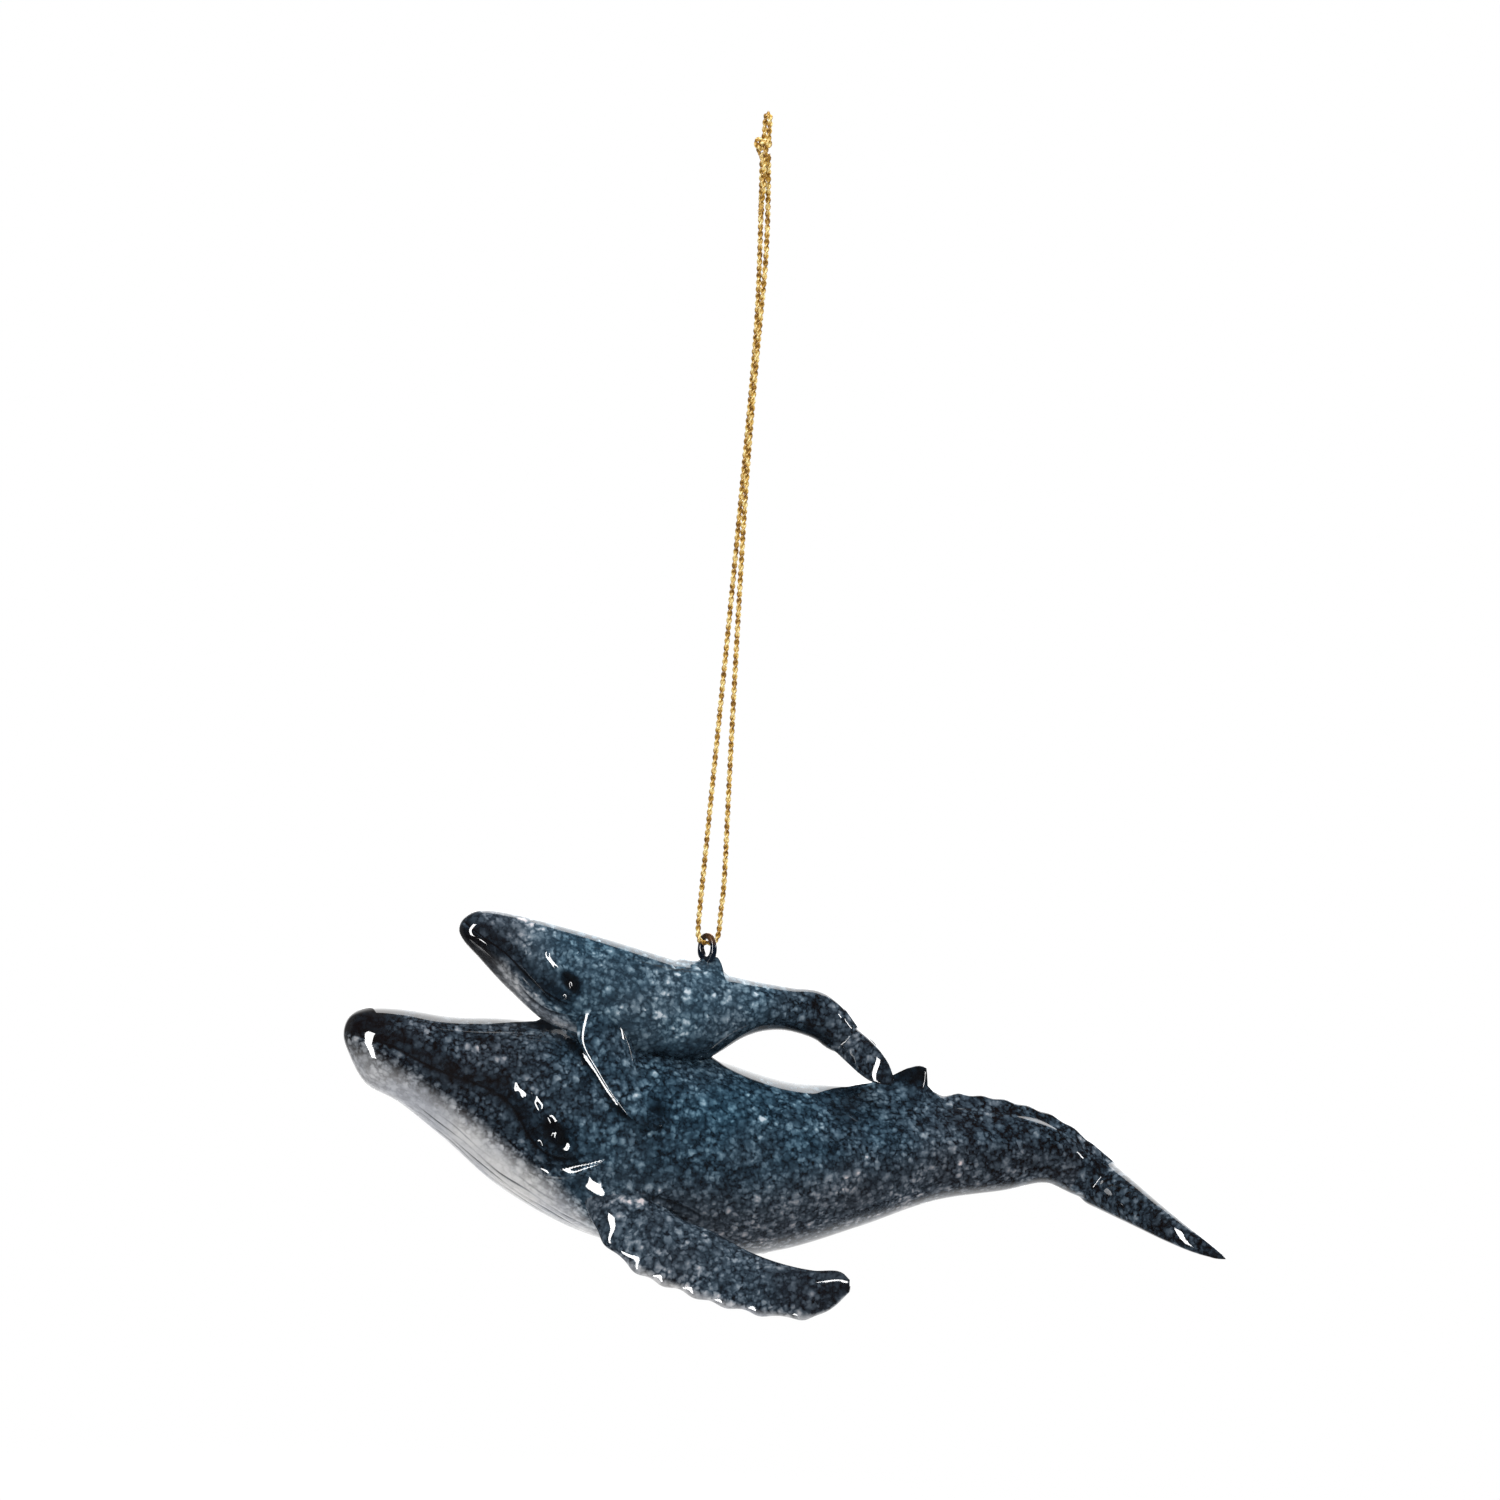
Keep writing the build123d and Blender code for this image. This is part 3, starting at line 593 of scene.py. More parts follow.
def fluke_rings(joint, span, chord, thickness, turn, blunt, sag, rings, around):
    """Blade sections from the left tip over the tail to the right tip, one blade sagging more."""
    back, rise = blade_axes(turn)
    share, *columns = np.array(FLUKE_STATIONS).T
    side = np.sin(np.linspace(-math.pi / 2, math.pi / 2, rings))
    front, rear, thick = [smooth_through(share, each, np.abs(side)) for each in columns]
    front = front * chord
    rear = rear * chord
    thick = thick * thickness * (1 + blunt * np.abs(side) ** 1.5)
    angle = np.arange(around) * 2 * math.pi / around
    across = (1 - np.cos(angle)) / 2
    bulge = np.sin(angle) / 2 * (1.5 - 1.2 * across)
    reach = front[:, None] + (rear - front)[:, None] * across
    grid = np.array(joint) + reach[..., None] * back + (thick[:, None] * bulge)[..., None] * rise
    grid[..., 1] += (side * span / 2)[:, None]
    droop = 0.022 * side**2 - 0.012 * side**6 + abs(sag) * np.maximum(np.sign(sag) * side, 0) ** 3
    grid[..., 2] -= span * droop[:, None]
    return grid


def tail_stub(body_grid, joint, chord, thickness, turn, fullness):
    """Rings that carry the end of the tail stock on into the blade."""
    back, rise = blade_axes(turn)
    end = body_grid[-1]
    inner = body_grid[-12]
    inner = inner.mean(axis=0) + 0.9 * (inner - inner.mean(axis=0))
    half = np.abs(end[:, 1]).max()
    angle = ring_angles(len(end))
    last = np.array(joint) + 0.42 * chord * back + np.outer(np.cos(angle), rise) * thickness * 0.34 * fullness
    last[:, 1] = -half * 0.9 * np.sin(angle)
    joined = [inner, end.mean(axis=0) + fullness * (end - end.mean(axis=0))]
    for share in (0.33, 0.66, 1.0):
        joined.append(joined[1] * (1 - share) + last * share)
    return np.array(joined)


def joined_mesh(name, parts):
    """One mesh out of several."""
    shell = bmesh.new()
    for part in parts:
        shell.from_mesh(part)
    mesh = bpy.data.meshes.new(name)
    shell.to_mesh(mesh)
    shell.free()
    return mesh


def fluke_piece(name, blade, stub, voxel, frost, cad_node):
    """Blade and stub fused into one smooth casting."""
    halves = [grid_piece(f"{name}_part", part, {}, resin) for part in (blade, stub)]
    fused = finished_piece(f"{name}_fused", joined_mesh(name, [half.data for half in halves]), resin)
    for half in halves:
        bpy.data.objects.remove(half)
    remesh = fused.modifiers.new("fuse", "REMESH")
    remesh.mode = "VOXEL"
    remesh.voxel_size = voxel
    smooth = fused.modifiers.new("soften", "SMOOTH")
    smooth.factor = 0.5
    smooth.iterations = 12
    cast = bpy.data.meshes.new_from_object(fused.evaluated_get(bpy.context.evaluated_depsgraph_get()))
    bpy.data.objects.remove(fused)
    points = np.empty(len(cast.vertices) * 3, np.float32)
    cast.vertices.foreach_get("co", points)
    across = points[1::3]
    edge = ramp(0.6, 1.0, np.abs(across) / np.abs(across).max()) * (across < 0)
    for key, values in (("dark", 0.5 * edge), ("frost", frost + 0 * edge), ("warm", 0.5 + 0 * edge)):
        cast.attributes.new(key, "FLOAT", "POINT").data.foreach_set("value", values.astype(np.float32))
    piece = finished_piece(f"{name}_casting", cast, resin)
    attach(piece, "ornament")
    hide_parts(cad_node)


mother_joint = mother_grid[-1].mean(axis=0)
fluke_piece(
    "mother_flukes",
    fluke_rings(mother_joint, MOTHER_FLUKE_SPAN, MOTHER_FLUKE_CHORD, MOTHER_FLUKE_THICKNESS,
                MOTHER_FLUKE_TURN, blunt=0.0, sag=0.045, rings=120, around=64),
    tail_stub(mother_grid, mother_joint, MOTHER_FLUKE_CHORD, MOTHER_FLUKE_THICKNESS, MOTHER_FLUKE_TURN,
              fullness=1.05),
    voxel=0.00025, frost=-0.2, cad_node="mother_flukes",
)


# Calf's body: a smaller casting of the same resin, pegged and glued on the mother's back. Its small back
# fin stands just behind the wire eye.
CALF_LENGTH = 56.6
CALF_DEPTH = 16.5
CALF_WIDTH = 14.4
CALF_BACK = -4.67
CALF_EYE_SHARE = 0.640
CALF_STATIONS = [
    (0.0, 0.223, 0.0, 0.0, 0.0),
    (0.012, 0.323, 0.194, 0.28, 0.0),
    (0.053, 0.400, 0.412, 0.44, 0.0),
    (0.136, 0.388, 0.673, 0.64, 0.0),
    (0.242, 0.321, 0.890, 0.82, 0.0),
    (0.366, 0.230, 1.000, 0.94, 0.0),
    (0.498, 0.121, 0.994, 1.00, 0.0),
    (0.640, 0.000, 0.836, 0.92, 0.0),
    (0.763, -0.082, 0.540, 0.69, 0.0),
    (0.869, -0.135, 0.400, 0.49, 0.0),
    (0.949, -0.201, 0.358, 0.33, -0.03),
    (1.000, -0.334, 0.285, 0.26, -0.097),
]
CALF_FIN_PROFILE = [(-4.6, 0), (-3.4, 0.4), (-2.2, 0.5), (-1.2, 0.8), (-0.3, 1.4), (0.6, 2.0), (1.5, 2.0),
                    (2.1, 1.3), (2.6, 0.4), (3.4, 0)]
CALF_FIN_THICKNESS = 2.6
CALF_FIN_RAKE = 0.1
CALF_HEAD_SIZE = 0.72
CALF_PALE_EDGE = [(-36, -1.6), (-32.3, -3.3), (-29.1, -5.1), (-25.8, -8.6), (-22.1, -11.4), (-16.9, -14.0),
                  (-8, -18.5), (22, -19)]
calf_marks = {
    "mouth": [(-36.2, 0.2), (-35.9, 0.0), (-34.0, -1.5), (-32.1, -2.8), (-28.7, -4.9), (-26.1, -7.3),
              (-22.7, -9.9), (-19.8, -11.3), (-16.9, -11.9)],
    "groove": 0.01,
    "eye": (-18.8, -8.6),
    "planes": [],
    "ridges": [([(-23.2, -3.6), (-22.2, -4.7), (-21.0, -6.0), (-19.6, -7.2), (-18.2, -7.9)], 0.6, 0.8),
               ([(-20.2, -10.2), (-18.8, -10.7), (-17.4, -10.4)], 0.45, 0.5)],
    "folds": [[(-28.1, -5.2), (-25.1, -8.2), (-21.1, -11.7), (-16.9, -12.9)],
              [(-27.2, -8.9), (-25.4, -10.6), (-23.1, -12.2), (-17.6, -13.4)]],
}
calf_grid, calf_angle = body_rings(
    CALF_LENGTH, CALF_DEPTH, CALF_WIDTH, CALF_BACK, CALF_EYE_SHARE, CALF_STATIONS,
    ring_shares(nose=36, head=190, rest=105), around=190,
)
calf_places = side_view(calf_grid)
calf_x, calf_z = calf_places
calf_relief, calf_dark = carve_head(calf_places, calf_marks, CALF_HEAD_SIZE)
calf_tail = 0.75 * ramp(11, 20, calf_x) - 0.8 * bell(calf_x - 8.5, 4.5) * ramp(0, -0.8, np.cos(calf_angle))
calf_grid = push_out(calf_grid, calf_relief + calf_tail)
calf_grid, calf_fin = back_fin(calf_grid, CALF_FIN_PROFILE, CALF_FIN_THICKNESS, CALF_FIN_RAKE)

calf_below = np.interp(calf_x, *np.transpose(CALF_PALE_EDGE)) - calf_z
calf_nose = ramp(-25, -33, calf_x) * ramp(-1.4, -0.2, calf_below)
# Painted shade: the calf's lower flank and underside darken towards the keel from the chest back, where it
# rests on the mother's back.
keel_painted_shade = ramp(0.0, -0.75, np.cos(calf_angle)) * ramp(-14, -4, calf_x)
calf_teal = bell(calf_x + 12, 8) * bell(calf_z + 2.5, 3.5)
calf = grid_piece("calf_body_casting", calf_grid, {
    "belly": 0.5 * ramp(-1.0, 2.0, calf_below),
    "dark": np.maximum.reduce([calf_dark, 0.85 * calf_nose, 0.6 * ramp(0.7, 1.8, calf_fin), 0.6 * keel_painted_shade]),
    "teal": calf_teal,
    "frost": 1.1 + 0.1 * calf_teal - 1.3 * ramp(4, 17, calf_x) - 0.5 * ramp(-25, -32, calf_x),
    "warm": 0.6 * np.maximum(ramp(-20, -30, calf_x), ramp(8, 20, calf_x)),
}, resin)
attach(calf, "ornament")
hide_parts("calf_body")


# Calf's flippers: short flat resin castings, plugged and glued into the chest so that they lie back on the
# mother's flanks. Their tips are painted dark, and the right one is the mirror image of the left.
CALF_FLIPPER_LENGTH = 18.0
CALF_FLIPPER_THICKNESS = 3.0
CALF_SHOULDER = (-15.0, -4.46, -11.93)
CALF_FLIPPER = [
    ((-0.220, 0.000, 0.045), (0.195, 0.000, -0.040), 1.00),
    ((-0.195, -0.172, -0.178), (0.250, -0.075, -0.205), 0.87),
    ((-0.055, -0.295, -0.390), (0.305, -0.130, -0.345), 0.73),
    ((0.100, -0.405, -0.595), (0.410, -0.215, -0.500), 0.63),
    ((0.267, -0.472, -0.750), (0.510, -0.310, -0.650), 0.50),
    ((0.440, -0.500, -0.820), (0.522, -0.420, -0.761), 0.27),
]
calf_flipper_grid, calf_span, calf_flipper_angle = flipper_rings(
    CALF_SHOULDER, CALF_FLIPPER_LENGTH, CALF_FLIPPER_THICKNESS, CALF_FLIPPER, 120, 72
)
unpainted = np.zeros(calf_flipper_grid.shape[:2])
flipper_pair("calf_flipper", calf_flipper_grid, {
    "belly": unpainted,
    "dark": 0.7 * ramp(0.75, 1, calf_span)[:, None] + unpainted,
    "teal": unpainted,
    "frost": 0.3 + unpainted,
    "warm": unpainted,
}, "calf_left_flipper", "calf_right_flipper")


# Calf's flukes: one small resin casting with two short blades, pegged and glued into the end of the calf's
# tail and finished in the same paint and lacquer.
CALF_FLUKE_SPAN = 17.0
CALF_FLUKE_CHORD = 9.4
CALF_FLUKE_THICKNESS = 4.6
CALF_STUB_THICKNESS = 1.25 * CALF_FLUKE_THICKNESS
CALF_FLUKE_TURN = 32.0
calf_joint = calf_grid[-1].mean(axis=0)
fluke_piece(
    "calf_flukes",
    fluke_rings(calf_joint, CALF_FLUKE_SPAN, CALF_FLUKE_CHORD, CALF_FLUKE_THICKNESS, CALF_FLUKE_TURN,
                blunt=1.3, sag=-0.035, rings=100, around=56),
    tail_stub(calf_grid, calf_joint, CALF_FLUKE_CHORD, CALF_STUB_THICKNESS, CALF_FLUKE_TURN, fullness=1.04),
    voxel=0.00016, frost=0.0, cad_node="calf_flukes",
)


# Wire eye: a bent brass wire ring on a shank, screwed and glued into the calf's back before the dip, so that
# its legs are coated with navy lacquer and only the top, where the cord rubs, is bare.
EYE_WIRE = 0.94
EYE_RING = 3.5
EYE_TURN = 25.0


def eye_wire_paint():
    """Navy lacquer on the legs and bare brass at the top, with a wavy edge between them."""
    material, tree, shader = new_material("eye_wire")
    place = node(tree, "ShaderNodeTexCoord").outputs["Object"]
    height = node(tree, "ShaderNodeSeparateXYZ", {0: place}).outputs["Z"]
    streak = node(tree, "ShaderNodeTexNoise", {"Vector": place, "Scale": 900, "Detail": 3}).outputs["Fac"]
    wavy = maths(tree, "MULTIPLY_ADD", streak, 0.0012, height)
    bare = map_range(tree, wavy, EYE_RING_HEIGHT - 0.0004, EYE_RING_HEIGHT + 0.0006, curve="LINEAR")
    fill_inputs(tree, shader, {
        "Base Color": blend_colours(tree, bare, tint(16, 24, 36), tint(112, 82, 58)),
        "Metallic": maths(tree, "MULTIPLY", bare, 0.8),
        "Roughness": map_range(tree, bare, 0, 1, 0.06, 0.35, curve="LINEAR"),
    })
    return material


ring_turn = np.linspace(0, 2 * math.pi, 97)[:-1]
wire_turn = np.linspace(0, 2 * math.pi, 25)[:-1]
eye_turn = math.radians(EYE_TURN)
wire_axis = np.array([math.sin(eye_turn), -math.cos(eye_turn), 0])
hole_axis = np.array([-math.cos(eye_turn), -math.sin(eye_turn), 0])
coating = 0.1 * ramp(0.2, -0.9, np.cos(ring_turn))[:, None]
wire = EYE_WIRE / 2 + coating + 0.02 * np.sin(5 * ring_turn)[:, None]
reach = EYE_RING / 2 + wire * np.cos(wire_turn)
spokes = np.sin(ring_turn)[:, None, None] * wire_axis + np.cos(ring_turn)[:, None, None] * [0, 0, 1]
ring_points = reach[..., None] * spokes + (wire * np.sin(wire_turn))[..., None] * hole_axis
ring_points = ring_points - [0, 0, EYE_RING / 2]
ring_mesh = bpy.data.meshes.new("eye")
rows, columns = ring_points.shape[:2]
ring_faces = [
    (row * columns + column, row * columns + (column + 1) % columns,
     (row + 1) % rows * columns + (column + 1) % columns, (row + 1) % rows * columns + column)
    for row in range(rows) for column in range(columns)
]
ring_mesh.from_pydata(in_metres(ring_points.reshape(-1, 3)), [], ring_faces)
eye = finished_piece("wire_eye", ring_mesh, eye_wire_paint())
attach(eye, "ornament")
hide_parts("screw_eye")

# Hanging cord: thin cord of two plies of metal-wrapped gold yarn, one length that comes down from the knot,
# goes through the eye and back up, and is drawn taut by the weight of the ornament.
CORD_PLY = 0.00047
CORD_PITCH = 0.0020
CORD_STEP = 0.0002
CORD_ROUTE = [
    (-0.45, 0.0, 113.7), (0.20, 0.10, 102.0), (0.70, 0.50, 88.0), (0.30, 0.60, 68.0), (-0.30, 0.20, 45.0),
    (-1.10, -0.40, 20.0), (-1.50, -0.60, 7.0), (-1.63, -0.76, 3.3), (-1.66, -0.77, 0.6),
    (-1.25, -0.58, -1.05), (1.25, 0.58, -1.05), (1.66, 0.77, 0.6), (1.63, 0.76, 3.3), (1.90, 0.70, 7.0),
    (1.50, 0.40, 20.0), (0.95, -0.20, 45.0), (0.60, -0.50, 68.0), (0.90, -0.50, 88.0), (1.30, -0.30, 102.0),
    (0.45, 0.0, 113.7),
]


def gold_cord():
    """Gold yarn in fine wraps, coloured from brown to pale gold, with painted highlights and painted shade.
    """
    material, tree, shader = new_material("gold_cord")
    around = node(tree, "ShaderNodeAttribute", attribute_name="around").outputs["Fac"]
    along = node(tree, "ShaderNodeAttribute", attribute_name="along").outputs["Fac"]
    place = node(tree, "ShaderNodeTexCoord").outputs["Object"]
    painted_glint = node(tree, "ShaderNodeTexNoise", {"Vector": place, "Scale": 2600, "Detail": 3}).outputs["Fac"]
    # The yarn's own gold, with painted highlights and painted shade: pale gold where the wraps would catch
    # light, brown between them.
    wrap = maths(tree, "SINE", maths(tree, "MULTIPLY_ADD", along, 5200.0, around))
    lit = maths(tree, "MULTIPLY_ADD", wrap, 0.18, painted_glint)
    shade = colour_scale(tree, lit, (0.3, (126, 86, 28)), (0.52, (212, 164, 62)), (0.75, (255, 238, 172)))
    fill_inputs(tree, shader, {"Base Color": shade, "Normal": bump(tree, lit, 0.5, 0.00004), "Metallic": 0.1,
                               "Roughness": 0.32})
    return material


gold = gold_cord()


def new_tree(name, inputs, output):
    """A Geometry Nodes tree with named inputs and one named output, and its group input."""
    tree = bpy.data.node_groups.new(name, "GeometryNodeTree")
    for socket, kind in inputs.items():
        tree.interface.new_socket(socket, in_out="INPUT", socket_type=kind)
    tree.interface.new_socket(output, in_out="OUTPUT", socket_type="NodeSocketGeometry")
    return tree, node(tree, "NodeGroupInput").outputs


def mark_points(tree, geometry, name, value):
    """Stores a value on the points of a curve."""
    return node(tree, "GeometryNodeStoreNamedAttribute", {"Geometry": geometry, "Name": name, "Value": value},
                data_type="FLOAT", domain="POINT").outputs["Geometry"]


def sweep(tree, given, line, section, output):
    """Ends a tree: sweeps a section along a line into plain geometry with its material."""
    swept = node(tree, "GeometryNodeCurveToMesh",
                 {"Curve": line, "Profile Curve": section, "Fill Caps": True}).outputs[0]
    real = node(tree, "GeometryNodeRealizeInstances", {0: swept}).outputs[0]
    dressed = node(tree, "GeometryNodeSetMaterial", {"Geometry": real, "Material": given["Material"]})
    node(tree, "NodeGroupOutput", {output: dressed.outputs[0]})
    return tree


def two_ply_tree():
    """Sweeps two round plies along a curve and twists them about each other."""
    tree, given = new_tree("two_ply_cord", {
        "Route": "NodeSocketGeometry", "Ply Diameter": "NodeSocketFloat", "Pitch": "NodeSocketFloat",
        "Step": "NodeSocketFloat", "Material": "NodeSocketMaterial",
    }, "Cord")
    spline = node(tree, "GeometryNodeSplineParameter").outputs
    line = node(tree, "GeometryNodeResampleCurve", {"Curve": given["Route"], "Length": given["Step"]},
                mode="LENGTH").outputs["Curve"]
    turns = maths(tree, "DIVIDE", spline["Length"], given["Pitch"])
    twist = maths(tree, "MULTIPLY", turns, 2 * math.pi)
    line = mark_points(tree, line, "along", spline["Length"])
    turned = node(tree, "GeometryNodeSetCurveTilt", {"Curve": line, "Tilt": twist}).outputs[0]
    radius = maths(tree, "MULTIPLY", given["Ply Diameter"], 0.5)
    plies = node(tree, "GeometryNodeJoinGeometry")
    for side in (-0.8, 0.8):
        ring = node(tree, "GeometryNodeCurvePrimitiveCircle", {"Resolution": 10, "Radius": radius})
        place = node(tree, "ShaderNodeCombineXYZ", {"X": maths(tree, "MULTIPLY", radius, side)}).outputs[0]
        moved = node(tree, "GeometryNodeTransform", {"Geometry": ring.outputs["Curve"], "Translation": place})
        tree.links.new(moved.outputs[0], plies.inputs[0])
    around = maths(tree, "MULTIPLY", spline["Factor"], 2 * math.pi)
    section = mark_points(tree, plies.outputs[0], "around", around)
    return sweep(tree, given, turned, section, "Cord")


two_ply = two_ply_tree()


def cord_line(name, points):
    """NURBS line led by given points, and the points that lie on it."""
    curve = bpy.data.curves.new(name, "CURVE")
    curve.dimensions = "3D"
    curve.resolution_u = 24
    spline = curve.splines.new("NURBS")
    spline.points.add(len(points) - 1)
    for point, place in zip(spline.points, in_metres(points)):
        point.co = (*place, 1)
    spline.order_u = 3
    spline.use_endpoint_u = True
    line = new_object(name, curve)
    traced = bpy.data.meshes.new_from_object(line)
    return line, [tuple(vertex.co) for vertex in traced.vertices]


def mesh_from_tree(start, tree, sizes):
    """Plain mesh that a tree makes of an object, with the tree's inputs set by their identifiers."""
    modifier = start.modifiers.new(tree.name, "NODES")
    modifier.node_group = tree
    for socket in tree.interface.items_tree:
        if socket.name in sizes:
            modifier[socket.identifier] = sizes[socket.name]
    mesh = bpy.data.meshes.new_from_object(start.evaluated_get(bpy.context.evaluated_depsgraph_get()))
    bpy.data.objects.remove(start)
    return mesh


def twisted_cord(name, lines, loose=()):
    """One mesh of two-ply cord along one or more lines, with any loose fibres."""
    sizes = {"Ply Diameter": CORD_PLY, "Pitch": CORD_PITCH, "Step": CORD_STEP, "Material": gold}
    plies = [mesh_from_tree(line, two_ply, sizes) for line in lines]
    return finished_piece(name, joined_mesh(name, [*loose, *plies]), gold)


route_line, route_points = cord_line("cord_route", CORD_ROUTE)
strands = twisted_cord("cord_strands", [route_line])
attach(strands, "cord")
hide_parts("hanging_cord")


# Cut ends: the two ends of the same gold cord, which stick out below the knot. They are cut square, and
# their fibres have frayed.
TAIL_ROUTES = [
    [(0.0, -0.775, 114.0), (-0.25, -0.85, 111.0), (0.1, -1.0, 108.6), (-0.2, -1.02, 106.5)],
    [(0.0, 0.775, 114.0), (0.3, 0.85, 110.6), (-0.1, 1.0, 107.8), (0.2, 1.02, 105.3)],
]
FRAY = {"Count": 14, "Length": 0.0014, "Fibre Diameter": 0.00012, "Seed": 5, "Material": gold}


def frayed_end_tree():
    """Fans loose fibres out from each end point."""
    tree, given = new_tree("frayed_end", {
        "Ends": "NodeSocketGeometry", "Count": "NodeSocketInt", "Length": "NodeSocketFloat",
        "Fibre Diameter": "NodeSocketFloat", "Seed": "NodeSocketInt", "Material": "NodeSocketMaterial",
    }, "Fibres")
    points = node(tree, "GeometryNodeMeshToPoints", {"Mesh": given["Ends"]}).outputs[0]
    many = node(tree, "GeometryNodeDuplicateElements", {"Geometry": points, "Amount": given["Count"]},
                domain="POINT").outputs[0]
    tip = node(tree, "ShaderNodeCombineXYZ", {"Z": maths(tree, "MULTIPLY", given["Length"], -1.0)}).outputs[0]
    fibre = node(tree, "GeometryNodeCurvePrimitiveLine", {"End": tip}).outputs[0]
    lean = node(tree, "FunctionNodeRandomValue",
                {0: (-0.45, -0.45, 0), 1: (0.45, 0.45, 3), "Seed": given["Seed"]},
                data_type="FLOAT_VECTOR").outputs[0]
    reach = node(tree, "FunctionNodeRandomValue", {2: 0.4, 3: 1.1, "Seed": given["Seed"]},
                 data_type="FLOAT").outputs[1]
    fan = node(tree, "GeometryNodeInstanceOnPoints",
               {"Points": many, "Instance": fibre, "Rotation": lean, "Scale": reach}).outputs[0]
    lines = node(tree, "GeometryNodeRealizeInstances", {0: fan}).outputs[0]
    radius = maths(tree, "MULTIPLY", given["Fibre Diameter"], 0.5)
    ring = node(tree, "GeometryNodeCurvePrimitiveCircle", {"Resolution": 5, "Radius": radius}).outputs[0]
    return sweep(tree, given, lines, ring, "Fibres")


ends_mesh = bpy.data.meshes.new("tail_ends")
ends_mesh.from_pydata(in_metres([route[-1] for route in TAIL_ROUTES]), [], [])
fibres = mesh_from_tree(new_object("tail_ends", ends_mesh), frayed_end_tree(), FRAY)
tail_lines = [cord_line("tail_route", points)[0] for points in TAIL_ROUTES]
tails = twisted_cord("cord_tails_frayed", tail_lines, [fibres])
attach(tails, "cord")
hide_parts("cord_tails")


# Knot and top loop: an overhand knot in the doubled gold cord, pulled tight, which leaves a small loop above
# it for a hook or a twig.
KNOT_MIDDLE = 114.7
knot_turn = np.linspace(0, 2 * math.pi, 34)
knot_route = np.stack([
    0.36 * (np.sin(knot_turn) + 2 * np.sin(2 * knot_turn)) - 0.45,
    0.5 * np.sin(3 * knot_turn),
    KNOT_MIDDLE + 0.42 * (np.cos(knot_turn) - 2 * np.cos(2 * knot_turn)),
], axis=-1)
LOOP_ROUTE = [(-0.22, 0.55, 114.6), (-0.30, 0.55, 117.4), (-0.24, 0.55, 119.37), (0.24, -0.55, 119.37),
              (0.30, -0.55, 117.4), (0.22, -0.55, 114.6)]
knot = twisted_cord("cord_knot_tied", [cord_line("knot_route", knot_route)[0]])
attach(knot, "hanger")
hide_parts("cord_knot")
top_loop = twisted_cord("cord_loop", [cord_line("loop_route", LOOP_ROUTE)[0]])
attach(top_loop, "hanger")
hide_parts("cord_top_loop")


# Studio: a round pale floor under the hanging piece, white surroundings, and softboxes for the lacquer to
# mirror.
FLOOR_HEIGHT = -0.262
FLOOR_RADIUS = 0.45


def pale_floor():
    """Pale paper that fades into the white surroundings at its rim."""
    material, tree, shader = new_material("pale_floor")
    fill_inputs(tree, shader, {"Base Color": (0.9, 0.9, 0.9, 1), "Roughness": 0.9})
    place = node(tree, "ShaderNodeTexCoord").outputs["Object"]
    out = node(tree, "ShaderNodeVectorMath", {0: place}, operation="LENGTH").outputs["Value"]
    clear = node(tree, "ShaderNodeBsdfTransparent").outputs[0]
    fade = map_range(tree, out, 0.27, 0.40)
    mixed = node(tree, "ShaderNodeMixShader", {0: fade, 1: shader.outputs[0], 2: clear})
    tree.links.new(mixed.outputs[0], tree.nodes["Material Output"].inputs["Surface"])
    return material


floor_mesh = bpy.data.meshes.new("floor")
floor_shell = bmesh.new()
bmesh.ops.create_circle(floor_shell, cap_ends=True, segments=96, radius=FLOOR_RADIUS,
                        matrix=Matrix.Translation((0, 0, FLOOR_HEIGHT)))
floor_shell.to_mesh(floor_mesh)
floor_shell.free()
floor_mesh.materials.append(pale_floor())
floor = new_object("floor", floor_mesh)
floor.visible_glossy = False
floor.visible_shadow = False

world = bpy.data.worlds.new("white_studio")
bpy.context.scene.world = world
world.use_nodes = True
sky = world.node_tree
sky.nodes.clear()
seen = node(sky, "ShaderNodeLightPath").outputs
direction = node(sky, "ShaderNodeTexCoord").outputs["Generated"]
heading = node(sky, "ShaderNodeSeparateXYZ", {0: direction}).outputs
behind = map_range(sky, heading["Y"], 0.1, 0.6, 0.05, 1.0)
level = map_range(sky, heading["Z"], 0.75, 0.3, 0.1, 1.0)
sideways = maths(sky, "ABSOLUTE", maths(sky, "SUBTRACT", heading["X"], 0.1))
middle = map_range(sky, sideways, 0.45, 0.2, 0.1, 1.0)
back_wall = maths(sky, "MULTIPLY", maths(sky, "MULTIPLY", behind, level), middle)
mirrored = maths(sky, "MULTIPLY", seen["Is Glossy Ray"], back_wall)
shown = maths(sky, "MAXIMUM", seen["Is Camera Ray"], mirrored)
shown = maths(sky, "MAXIMUM", shown, seen["Is Transmission Ray"])
ambient = maths(sky, "MULTIPLY", seen["Is Diffuse Ray"], 0.95)
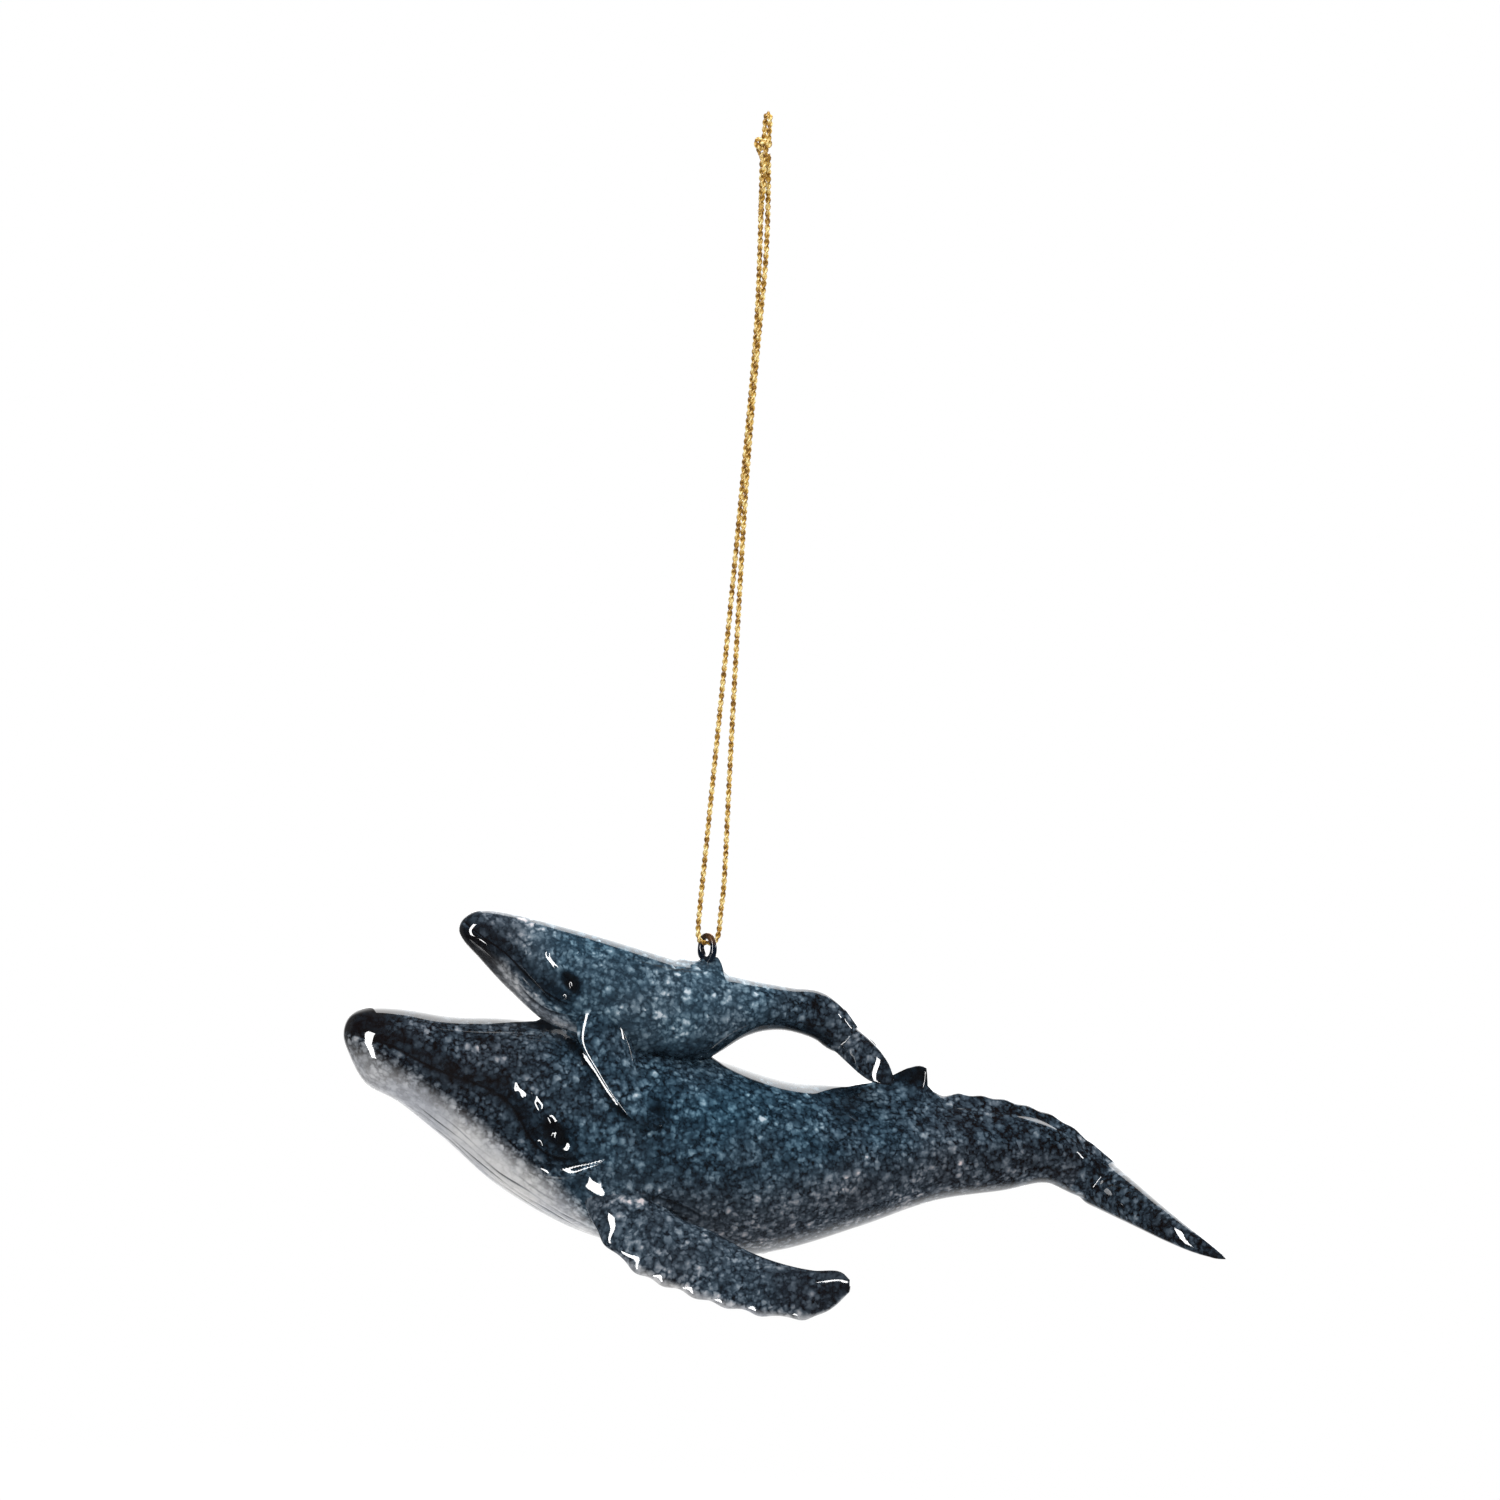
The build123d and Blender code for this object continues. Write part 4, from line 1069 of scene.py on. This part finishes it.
strength = maths(sky, "MAXIMUM", shown, ambient)
white = node(sky, "ShaderNodeBackground", {"Color": (1, 1, 1, 1), "Strength": strength})
node(sky, "ShaderNodeOutputWorld", {"Surface": white.outputs[0]})


def softbox(name, place, size, power, lights_paint, shows_in_lacquer):
    """A lit panel turned to the ornament, which lights the paint or shows in the lacquer."""
    lamp = bpy.data.lights.new(name, "AREA")
    lamp.shape = "RECTANGLE"
    lamp.size, lamp.size_y = size
    lamp.energy = power
    box = new_object(name, lamp)
    box.location = place
    box.rotation_euler = (Vector((0, 0, -0.14)) - Vector(place)).to_track_quat("-Z", "Y").to_euler()
    box.visible_camera = False
    box.visible_diffuse = lights_paint
    box.visible_glossy = shows_in_lacquer


softbox("overhead", (0.0, -0.05, 0.55), (0.7, 0.5), 4.5, True, False)
softbox("left_strip", (-0.66, -0.61, 0.05), (0.17, 1.2), 19.5, False, True)
softbox("right_side", (0.80, -0.25, 0.20), (0.07, 0.25), 1.6, False, True)
softbox("behind", (0.17, 0.53, 0.08), (0.48, 0.82), 4.4, False, True)

scene = bpy.context.scene
scene.view_settings.view_transform = "Standard"


# Camera: a long lens a little above the ornament, turned towards its head and rolled, so that the ornament
# lies in the frame as in the photograph.
CAMERA_DISTANCE = 1.2
FRAME_WIDTH = 0.217
yaw, lift, roll = math.radians(7.0), math.radians(7.3), math.radians(4.2)
aim = Vector((0.0041, 0, -0.0915))
away = Vector((-math.sin(yaw) * math.cos(lift), -math.cos(yaw) * math.cos(lift), math.sin(lift)))
right = Vector((math.cos(yaw), -math.sin(yaw), 0))
up = away.cross(right)
turned_right = right * math.cos(roll) + up * math.sin(roll)
turned_up = up * math.cos(roll) - right * math.sin(roll)
lens = bpy.data.cameras.new("camera")
lens.sensor_width = 36
lens.lens = 36 * CAMERA_DISTANCE / FRAME_WIDTH
camera = new_object("camera", lens)
axes = Matrix((turned_right, turned_up, away)).transposed()
camera.matrix_world = Matrix.Translation(aim + away * CAMERA_DISTANCE) @ axes.to_4x4()
scene.camera = camera
